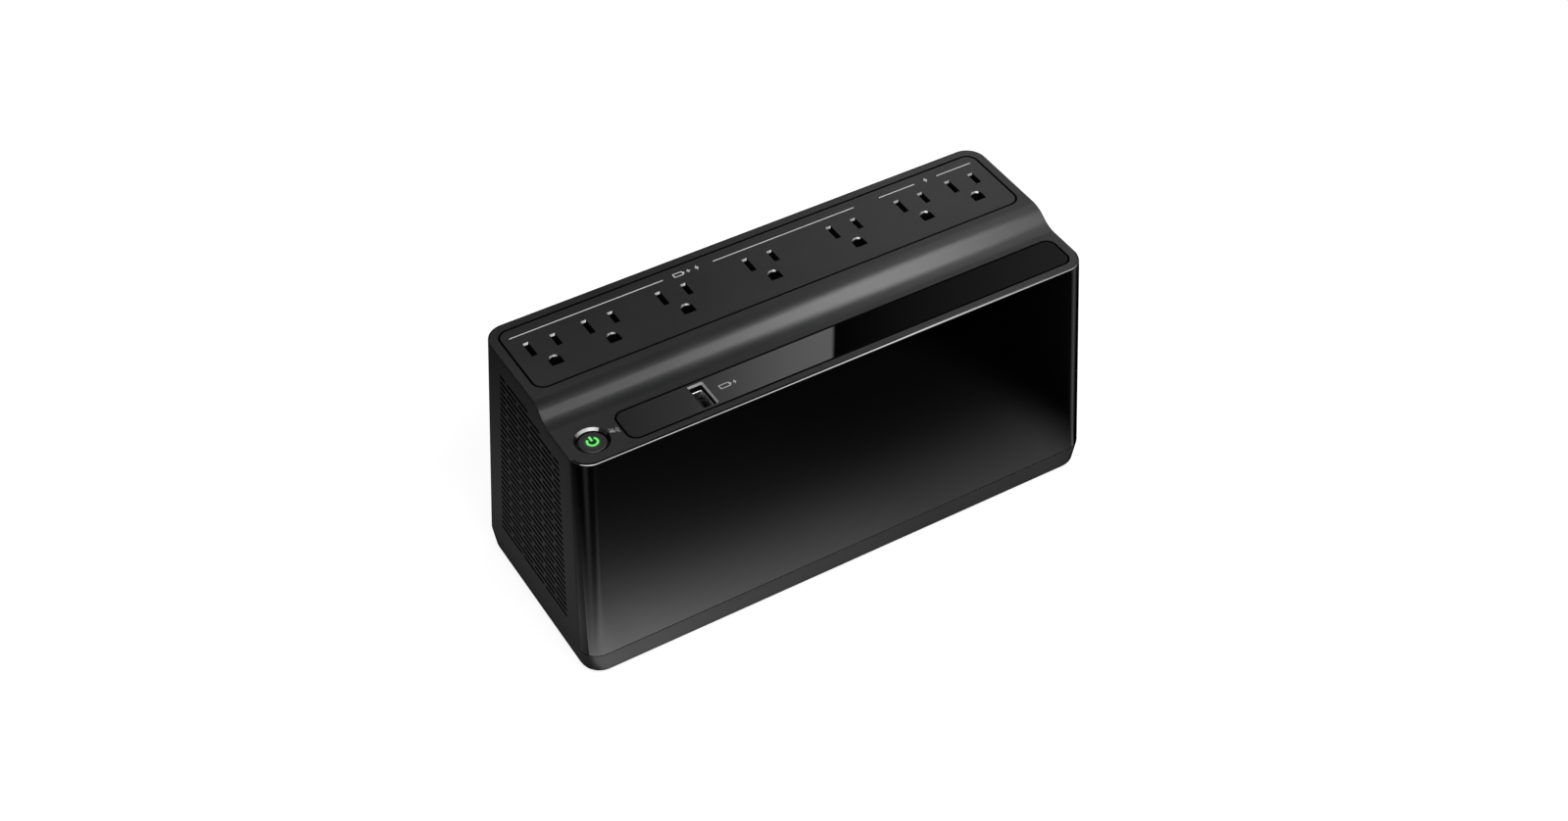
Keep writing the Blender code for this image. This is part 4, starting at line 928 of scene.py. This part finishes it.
def charging_port():
    """Steel sleeve with a rolled mouth, a flat tongue in it and contacts on the tongue."""
    top = LOW_Z - INSERT_T - PORT_COLLAR - SLEEVE_GAP
    foot = top - SLEEVE_L
    inset, drop = np.array(SLEEVE_MOUTH).T
    grow = -np.concatenate([inset[:1], inset, inset[-1:]])
    shell = rings(port_loop, grow, np.concatenate([[foot], top - drop, [foot]]))
    across, along = strides(shell[:, 0])[:, :2].T
    skin = Skin()
    skin.grid(shell[:, :3])
    # Painted highlight: the mouth's right flat takes the pale finish in place of steel
    skin.grid(shell[:, 2:4], kind=(along > np.abs(across)).astype(int))
    skin.grid(shell[:, 3:])
    skin.grid(np.stack([shell[:, -1], shell[:, 0]], axis=1))
    settle(skin.make("port_sleeve", STEEL, PAINTED_HIGHLIGHT), "shell_steel", "port_shell")
    softened("port_tongue", "port_insulator", INNER, "inner_plastic", TONGUE_ROUND)
    for i in range(CONTACTS):
        y = PORT[1] + (i - (CONTACTS - 1) / 2) * CONTACT_PITCH
        port_contact(f"port_contact_{i + 1}", y, foot + CONTACT_LOW, top - CONTACT_TOP)


def deck_pieces():
    outlet_plate()
    status_strip()
    power_button()
    charging_port()


# Printed marks
def mark(name, material, z, *shapes, slot="case_plastic", body="case"):
    """Thin print: each shape is a loop, or a loop with its openings, raised by PRINT_T."""
    skin = Skin()
    for shape in shapes:
        columns = [np.stack([at(loop, z), at(loop, z + PRINT_T)], axis=1) for loop in shape]
        for column in columns:
            skin.grid(column)
        for side in (0, 1):
            skin.flat(*[column[:, side] for column in columns])
    settle(skin.make(name, material), slot, body=body)


def bar(x0, x1, y, width, slant=0.0):
    """Printed line whose ends lean over by slant."""
    low, high = y - width / 2, y + width / 2
    return [np.array([[x0, low], [x1, low], [x1 + slant, high], [x0 + slant, high]])]


def bolt(x, y, size):
    """Generic lightning mark."""
    points = np.array([[0.12, 0.5], [-0.30, -0.06], [-0.04, -0.06],
                       [-0.12, -0.5], [0.30, 0.08], [0.04, 0.08]])
    return [points * size + np.array([x, y])]


def cell(x, y, length, width):
    """Generic battery mark: an outlined block with a small end cap."""
    outer = round_box(x, y, length, width, CELL_R[0], steps=3)
    inner = round_box(x, y, length - 2 * CELL_LINE, width - 2 * CELL_LINE, CELL_R[1], steps=3)
    cap_x = x + length / 2 + CELL_CAP_X
    cap = round_box(cap_x, y, CELL_CAP_L, width * CELL_CAP_SHARE, CELL_R[2], steps=2)
    return [outer, inner], [cap]


def plus(x, y):
    """Plus sign of a long stroke and two short ones that stop at it."""
    strokes = [stroke(x - PLUS_HALF, y, x + PLUS_HALF, y, PLUS_W)]
    for side in (-1, 1):
        strokes.append(stroke(x, y + side * PLUS_GAP, x, y + side * PLUS_HALF, PLUS_W))
    return strokes


def ring_part(x, y, inner, outer, start, stop, steps=40):
    """Part of a flat ring between two angles."""
    turn = np.radians(np.linspace(start, stop, steps))
    around = np.column_stack([np.cos(turn), np.sin(turn)])
    return [np.vstack([around * outer, around[::-1] * inner]) + np.array([x, y])]


def stroke(x0, y0, x1, y1, width):
    """Straight stroke between two points."""
    along = np.array([x1 - x0, y1 - y0])
    side = np.array([-along[1], along[0]]) / np.hypot(*along) * width / 2
    start = np.array([x0, y0])
    stop = np.array([x1, y1])
    return [np.array([start - side, stop - side, stop + side, start + side])]


def printed_marks():
    deck = DECK_Z - PRINT_SINK
    lines = [bar(x0, x1, LINE_Y, LINE_W, LINE_SLANT) for x0, x1 in LINE_SPANS]
    mark("outlet_lines", PRINT, deck, *lines)
    backed = [*plus(BACKED_PLUS_X, LINE_Y), bolt(BACKED_BOLT_X, LINE_Y, BOLT_SIZE)]
    mark("backed_mark", PRINT, deck, *cell(BACKED_CELL_X, LINE_Y, *CELL_SIZE), *backed)
    mark("surge_mark", PRINT, deck, bolt(SURGE_X, LINE_Y, BOLT_SIZE))
    charge = [*cell(*CHARGE, *CHARGE_CELL), bolt(CHARGE[0] + CHARGE_STEP, CHARGE[1], CHARGE_BOLT)]
    mark("charge_mark", FAINT_PRINT, LOW_Z, *charge, slot="gloss_plastic")
    x, y = SILENCE
    cone = [np.array(SOUND_CONE) + np.array(SILENCE)]
    sound = [ring_part(x, y, *ring, -SOUND_TURN, SOUND_TURN, steps=12) for ring in SOUND_RINGS]
    cross = stroke(x - CROSS_HALF, y + CROSS_HALF, x + CROSS_HALF, y - CROSS_HALF, CROSS_W)
    mark("silence_mark", DIM_PRINT, LOW_Z, cone, *sound, cross)
    cap = LOW_Z - BUTTON_SINK - BUTTON_DISH + WINDOW_UP
    ring = ring_part(*SYMBOL, *SYMBOL_RING, *SYMBOL_TURN, steps=64)
    upright = [round_box(SYMBOL[0], SYMBOL[1] + SYMBOL_BAR_UP, *SYMBOL_BAR, SYMBOL_R, steps=4)]
    place = {"slot": "button_plastic", "body": "button"}
    mark("power_window", WINDOW, cap, [circle(*SYMBOL, WINDOW_R)], **place)
    mark("power_symbol", GREEN, cap + WINDOW_UP, ring, upright, **place)


# Rear fittings, battery cover and the finishes of the nodes that stay
def rear_pieces():
    softened("cord_gland", "gland_bush", RUBBER, "foot_rubber", BUSH_ROUND)
    softened("breaker_collar", "reset_collar", INNER, "inner_plastic", FITTING_ROUND)
    softened("breaker_reset", "reset_button", RESET, "reset_cap", FITTING_ROUND, "reset")
    softened("data_jack", "jack_body", INNER, "inner_plastic", JACK_ROUND)
    softened("battery_cover", "hatch", CASE, "case_plastic", FITTING_ROUND, "hatch")


def dress_nodes():
    """Gives each node that no piece replaces the finish of its kind."""
    finishes = (
        (INNER, ("contact_rail_front", "contact_divider", "contact_rail_rear", "power_switch",
                 "transfer_relay", "sounder", "breaker_body")),
        (BRASS, ("neutral_strip", "backed_line_strip", "surge_line_strip", "ground_strip",
                 "terminal_negative", "terminal_positive")),
        (BOARD, ("indicator_board", "main_board")),
        (SLEEVE, ("capacitor_left", "capacitor_middle", "capacitor_right")),
        (BATTERY, ("battery",)),
        (IRON, ("transformer_core",)),
        (COPPER, ("transformer_coil",)),
        (ALLOY, ("heat_sink",)))
    for material, nodes in finishes:
        for node in nodes:
            mesh = frame["nodes"][node].data
            mesh.materials.clear()
            mesh.materials.append(material)


# Studio
CAMERA_AT = (-420.99, -693.46, 829.39)
CAMERA_TURN = (46.524, 0.0, -31.074)
LENS = 54.795
SENSOR = 36.0
FAR_CLIP = 50.0
AIM = Vector((0.0, 0.0, 0.07))

# Strength of the surroundings for each kind of ray
WORLD = {"Is Camera Ray": 1.0, "Is Diffuse Ray": 0.35, "Is Glossy Ray": 0.05}

# Corners of a square, in order
SQUARE = ((-1, -1), (1, -1), (1, 1), (-1, 1))

# Softboxes: azimuth, elevation, distance, width, height, radiance
SOFTBOXES = {"front_box": (8.0, 52.0, 1.2, 1.2, 0.6, 4.6), "left_box": (-75.0, 60.0, 1.3, 0.8, 0.6, 1.6),
             "under_box": (0.0, -90.0, 0.9, 0.5, 0.3, 9.0)}

# Floor: half its side, its grey for light that bounces, and what the camera sees in it
FLOOR_REACH = 6.0
FLOOR_BOUNCE = 0.65
FLOOR_WHITE = 0.84
FLOOR_SHADED = 0.28

# Pool of light on the floor that the polished front mirrors, in metres; light goes from weak to strong
POOL_BELL = 0.044
POOL_BELL_LIGHT = (0.21, 0.31)
POOL_TAIL = 0.040
POOL_TAIL_LIGHT = (0.12, 0.74)
POOL_LEFT = 0.100
POOL_ACROSS = 0.060
POOL_BROAD = 0.120
POOL_HAZE = (0.03, 0.10)
POOL_HAZE_LIGHT = (0.011, 0.026)
POOL_STREAK_X = 0.131
POOL_STREAK_W = 0.013
POOL_STREAK_L = 0.060
POOL_STREAK_LIGHT = (0.24, 0.6)
POOL_RIGHT = (0.124, 0.158)
POOL_DROP = (0.0, 0.06)
POOL_DROPPED = 0.8
POOL_BESIDE = 0.040
# Painted contact shadow: the pool is dark within this distance of the front
POOL_CONTACT_SHADOW = 0.002
POOL_SIDE = 0.070
POOL_SIDE_LIGHT = (0.085, 0.17)
POOL_NEAR = 0.030
POOL_REAR = (0.060, 0.220)
POOL_REAR_SHARE = 0.25
POOL_WEDGE = (math.radians(-30.0), math.radians(15.0))
POOL_WEDGE_LIGHT = 0.27
POOL_CORNER = (math.radians(45.0), math.radians(11.0))
POOL_CORNER_LIGHT = 0.14
POOL_FAR = (0.160, 0.350)
POOL_BEHIND = (0.010, 0.150)
POOL_AHEAD = (0.25, 0.90)
POOL_AHEAD_LIGHT = 0.5
POOL_TOP = 1.5

# Band of light round the front: azimuth, lower and upper elevation in degrees, radiance
WRAP = np.array([(-124.0, 4.0, 44.0, 0.34), (-72.0, 18.0, 52.0, 0.34), (-71.0, 22.0, 54.0, 5.6),
                 (-45.0, 20.7, 55.0, 8.6), (-20.0, 19.4, 56.0, 9.4), (4.0, 18.1, 58.0, 6.6),
                 (18.0, 16.9, 60.4, 6.3), (34.0, 15.6, 56.8, 7.6), (42.0, 14.8, 53.2, 9.8),
                 (50.0, 14.4, 41.5, 11.4), (64.0, 10.9, 36.0, 6.4), (79.0, 9.1, 32.0, 4.4)])
WRAP_R = 1.2
WRAP_SOFT = 0.25
WRAP_DIM = 0.34
WRAP_TURN = (math.radians(34.0), math.radians(41.0))
WRAP_STEPS = 108

# Cards above and behind: y and z of two edges, strength, and stops of x and light along them
REAR_CARD = ((0.4, 0.4), (0.50, 0.69), 0.95,
             ((-0.2, 0.2), (0.008, 0.25), (0.096, 0.18), (0.16, 0.31), (0.24, 0.84), (0.2784, 1.0),
              (0.27888, 0.0), (0.6, 0.2)))
LOW_CARD = ((0.5, 0.5), (0.10, 0.46), 2.2, ((0.24, 0.0), (0.392, 1.0), (0.544, 0.7), (1.0, 0.3)))
OVER_CARD = ((0.0, 0.35), (0.6, 0.6), 2.3, ((0.28, 1.0), (0.3476, 0.8), (0.41, 0.4), (0.8, 0.15)))
CORNER_CARD = ((0.39, 0.39), (0.60, 0.72), 1.9, ((-0.15, 1.0), (0.085, 1.0)))

# Small card that faces the step: the point it faces, bearing, distance, width, height, strength
GLEAM_AIM = Vector((0.047, -0.012, 0.130))
GLEAM_TURN = (52.0, 59.5)
GLEAM_AWAY = 0.30
GLEAM_W = 0.15
GLEAM_H = 0.10
GLEAM_LIGHT = 8.0


def towards(azimuth, elevation):
    """Direction from degrees; azimuth 0 is in front and 90 on the right."""
    a, e = np.radians(azimuth), np.radians(elevation)
    return np.stack([np.sin(a) * np.cos(e), -np.cos(a) * np.cos(e), np.sin(e)], axis=-1)


def camera():
    data = bpy.data.cameras.new("camera")
    data.lens = LENS
    data.sensor_width = SENSOR
    data.clip_end = FAR_CLIP
    made = linked("camera", data)
    made.location = Vector(CAMERA_AT) * MM
    made.rotation_euler = [math.radians(a) for a in CAMERA_TURN]
    bpy.context.scene.camera = made


def softbox(name, azimuth, elevation, distance, width, height, radiance):
    """Rectangular lamp that faces the object and that reflections don't see."""
    away = Vector(towards(azimuth, elevation))
    data = bpy.data.lights.new(name, "AREA")
    data.shape = "RECTANGLE"
    data.size = width
    data.size_y = height
    data.energy = math.pi * width * height * radiance
    lamp = linked(name, data)
    lamp.location = AIM + away * distance
    lamp.rotation_euler = away.to_track_quat("Z", "Y").to_euler()
    lamp.visible_glossy = False


def stage_sheet(name, corners, finish, faces=((0, 1, 2, 3),)):
    """Sheet of the studio, which isn't part of the object."""
    mesh = bpy.data.meshes.new(name)
    mesh.from_pydata(corners, [], faces)
    mesh.materials.append(finish.material)
    sheet = linked(name, mesh)
    return sheet


def pool(finish):
    """Light on the floor for reflections.

    Ahead of the case it is a bell curve, a slower tail that is strongest at the left end, a haze further out
    and a narrow streak at the left corner; all stop past the right end and fade past the left one.  A beam
    leaves each front corner, the left side has a weak tail, and it is light behind, far right and far ahead.
    """
    across = finish.apart()
    along = across.other("Y")
    half_length, half_depth = CASE_LENGTH / 2 * MM, CASE_DEPTH / 2 * MM
    turn_x, turn_y = half_length - CORNER_R * MM, half_depth - CORNER_R * MM
    ahead = (-along - half_depth).at_least(0.0)
    beside = (-across - half_length).at_least(0.0)
    past = (across - half_length).at_least(0.0)
    at_left = (across + POOL_LEFT).fade(POOL_BROAD)
    bell = at_left.between(*POOL_BELL_LIGHT) * ahead.bell(POOL_BELL)
    tail = (across + POOL_LEFT).fade(POOL_ACROSS).between(*POOL_TAIL_LIGHT) * ahead.fade(POOL_TAIL)
    haze = at_left.between(*POOL_HAZE_LIGHT) * ahead.ramp(*POOL_HAZE)
    streak = (across + POOL_STREAK_X).bell(POOL_STREAK_W) * ahead.fade(POOL_STREAK_L)
    streak = streak * ahead.ramp(0.0, POOL_STREAK_L / 2, *POOL_STREAK_LIGHT)
    kept = across.ramp(*POOL_RIGHT, 1.0, 0.0) * across.ramp(*POOL_DROP, 1.0, POOL_DROPPED)
    # Painted contact shadow: the front pool falls to nothing at the case's front
    kept = kept * beside.fade(POOL_BESIDE) * ahead.ramp(0.0, POOL_CONTACT_SHADOW)
    front = (bell + tail + haze + streak) * kept
    left = beside.ramp(0.0, POOL_NEAR, *POOL_SIDE_LIGHT) * (beside - POOL_NEAR).fade(POOL_SIDE)
    left = left * along.ramp(*POOL_REAR, 1.0, POOL_REAR_SHARE) * (across < -half_length)
    right_turn = finish.math("ARCTAN2", along + half_depth, past) - POOL_WEDGE[0]
    left_turn = finish.math("ARCTAN2", -across - turn_x, -along - turn_y) - POOL_CORNER[0]
    beams = POOL_WEDGE_LIGHT * right_turn.bell(POOL_WEDGE[1]) * (past > 0.0)
    beams = beams + POOL_CORNER_LIGHT * left_turn.bell(POOL_CORNER[1])
    far = past.ramp(*POOL_FAR) * (along > -half_depth)
    far = far.at_least((along - half_depth).ramp(*POOL_BEHIND) * across.ramp(-half_length, 0.0))
    far = far.at_least(ahead.ramp(*POOL_AHEAD, 0.0, POOL_AHEAD_LIGHT))
    in_front = along < -half_depth
    return in_front * front + (1.0 - in_front) * left + beams + far


def floor():
    """White for the camera with the object's shadow, a pool of light for reflections, clear from below."""
    finish = Finish("floor_white")
    light = finish.blend(pool(finish) / POOL_TOP, grey(0.0), grey(1.0))
    ray = finish.node("ShaderNodeLightPath", out="Is Camera Ray")
    bounce = finish.node("ShaderNodeBsdfDiffuse", {"Color": grey(FLOOR_BOUNCE)})
    shaded = finish.node("ShaderNodeBsdfDiffuse", {"Color": grey(FLOOR_SHADED)})
    white = finish.emission(grey(1.0), FLOOR_WHITE)
    seen = finish.node("ShaderNodeAddShader", {0: white, 1: shaded})
    lit = finish.emission(light, POOL_TOP)
    unseen = finish.node("ShaderNodeMixShader", {0: ray.other("Is Glossy Ray"), 1: bounce, 2: lit})
    surface = finish.node("ShaderNodeMixShader", {0: ray, 1: unseen, 2: seen})
    under = finish.node("ShaderNodeNewGeometry", out="Backfacing")
    clear = finish.node("ShaderNodeBsdfTransparent")
    is_clear = under.at_least(ray.other("Is Shadow Ray"))
    finish.show(finish.node("ShaderNodeMixShader", {0: is_clear, 1: surface, 2: clear}))
    stage_sheet("floor", [(x * FLOOR_REACH, y * FLOOR_REACH, 0) for x, y in SQUARE], finish)


def reflected_only(sheet):
    """Hides a sheet from all but reflections."""
    sheet.visible_camera = False
    sheet.visible_diffuse = False
    sheet.visible_shadow = False


def card(name, y, z, strength, stops):
    """Sheet that only reflections see; its light follows the stops along X."""
    low, high = stops[0][0], stops[-1][0]
    finish = Finish(name)
    share = (finish.apart() - low) / (high - low)
    ramp = [((x - low) / (high - low), grey(level)) for x, level in stops]
    finish.show(finish.emission(finish.node("ShaderNodeValToRGB", {0: share}, stops=ramp), strength))
    corners = [(low, y[0], z[0]), (high, y[0], z[0]), (high, y[1], z[1]), (low, y[1], z[1])]
    reflected_only(stage_sheet(name, corners, finish))


def gleam_card():
    """Small even card that only reflections see, turned towards the step."""
    a = math.radians(GLEAM_TURN[0])
    away = Vector(towards(*GLEAM_TURN))
    side = Vector((math.cos(a), math.sin(a), 0.0)) * GLEAM_W / 2
    rise = away.cross(side).normalized() * GLEAM_H / 2
    centre = GLEAM_AIM + away * GLEAM_AWAY
    corners = [tuple(centre + i * side + j * rise) for i, j in SQUARE]
    finish = Finish("gleam_card")
    finish.show(finish.emission(grey(1.0), GLEAM_LIGHT))
    reflected_only(stage_sheet("gleam_card", corners, finish))


def wrap_card():
    """Band of light round the front: azimuth turns along it and each stop gives its edges and its light.

    From the lower edge the light rises smoothly over the share WRAP_SOFT of the band, to the share WRAP_DIM
    of its full level, which it reaches between the elevations WRAP_TURN.
    """
    stop, low, high, level = WRAP.T
    azimuth = np.linspace(stop[0], stop[-1], WRAP_STEPS + 1)
    edges = [towards(azimuth, np.interp(azimuth, stop, elevation)) for elevation in (low, high)]
    points = np.concatenate(edges) * WRAP_R + np.array(AIM)
    count = len(azimuth)
    faces = [(i, i + 1, count + i + 1, count + i) for i in range(count - 1)]
    finish = Finish("wrap_card")
    place = finish.apart()
    first, span = math.radians(stop[0]), math.radians(stop[-1] - stop[0])
    share = (finish.math("ARCTAN2", place, -place.other("Y")) - first) / span
    turns = (stop - stop[0]) / (stop[-1] - stop[0])
    ramp = [(turn, grey(part)) for turn, part in zip(turns, level / level.max())]
    light = finish.node("ShaderNodeValToRGB", {0: share}, stops=ramp)
    rise = finish.node("ShaderNodeAttribute", out="Fac", attribute_name="rise")
    dim, full = (AIM.z + WRAP_R * math.sin(elevation) for elevation in WRAP_TURN)
    strength = rise.ramp(0.0, WRAP_SOFT) * place.other("Z").ramp(dim, full, WRAP_DIM, 1.0)
    finish.show(finish.emission(finish.blend(strength, grey(0.0), light), level.max()))
    sheet = stage_sheet("wrap_card", points.tolist(), finish, faces)
    height = sheet.data.attributes.new("rise", "FLOAT", "POINT")
    height.data.foreach_set("value", np.repeat([0.0, 1.0], count))
    reflected_only(sheet)


def cards():
    """One behind with a clean edge, a band round the front, and others behind, above and near the step."""
    card("rear_card", *REAR_CARD)
    wrap_card()
    card("low_card", *LOW_CARD)
    card("over_card", *OVER_CARD)
    gleam_card()
    card("corner_card", *CORNER_CARD)


def surroundings():
    """White for the camera, dim for reflections and a soft fill for matt surfaces."""
    world = bpy.data.worlds.new("studio")
    bpy.context.scene.world = world
    world.use_nodes = True
    nodes = Nodes(world.node_tree)
    ray = nodes.node("ShaderNodeLightPath")
    back = world.node_tree.nodes["Background"]
    nodes.put(back.inputs["Color"], grey(1.0))
    nodes.put(back.inputs["Strength"], sum(light * ray.other(kind) for kind, light in WORLD.items()))


def studio():
    camera()
    floor()
    cards()
    surroundings()
    for name, values in SOFTBOXES.items():
        softbox(name, *values)
    bpy.context.scene.view_settings.view_transform = "Standard"


case_pieces()
deck_pieces()
printed_marks()
rear_pieces()
dress_nodes()
studio()
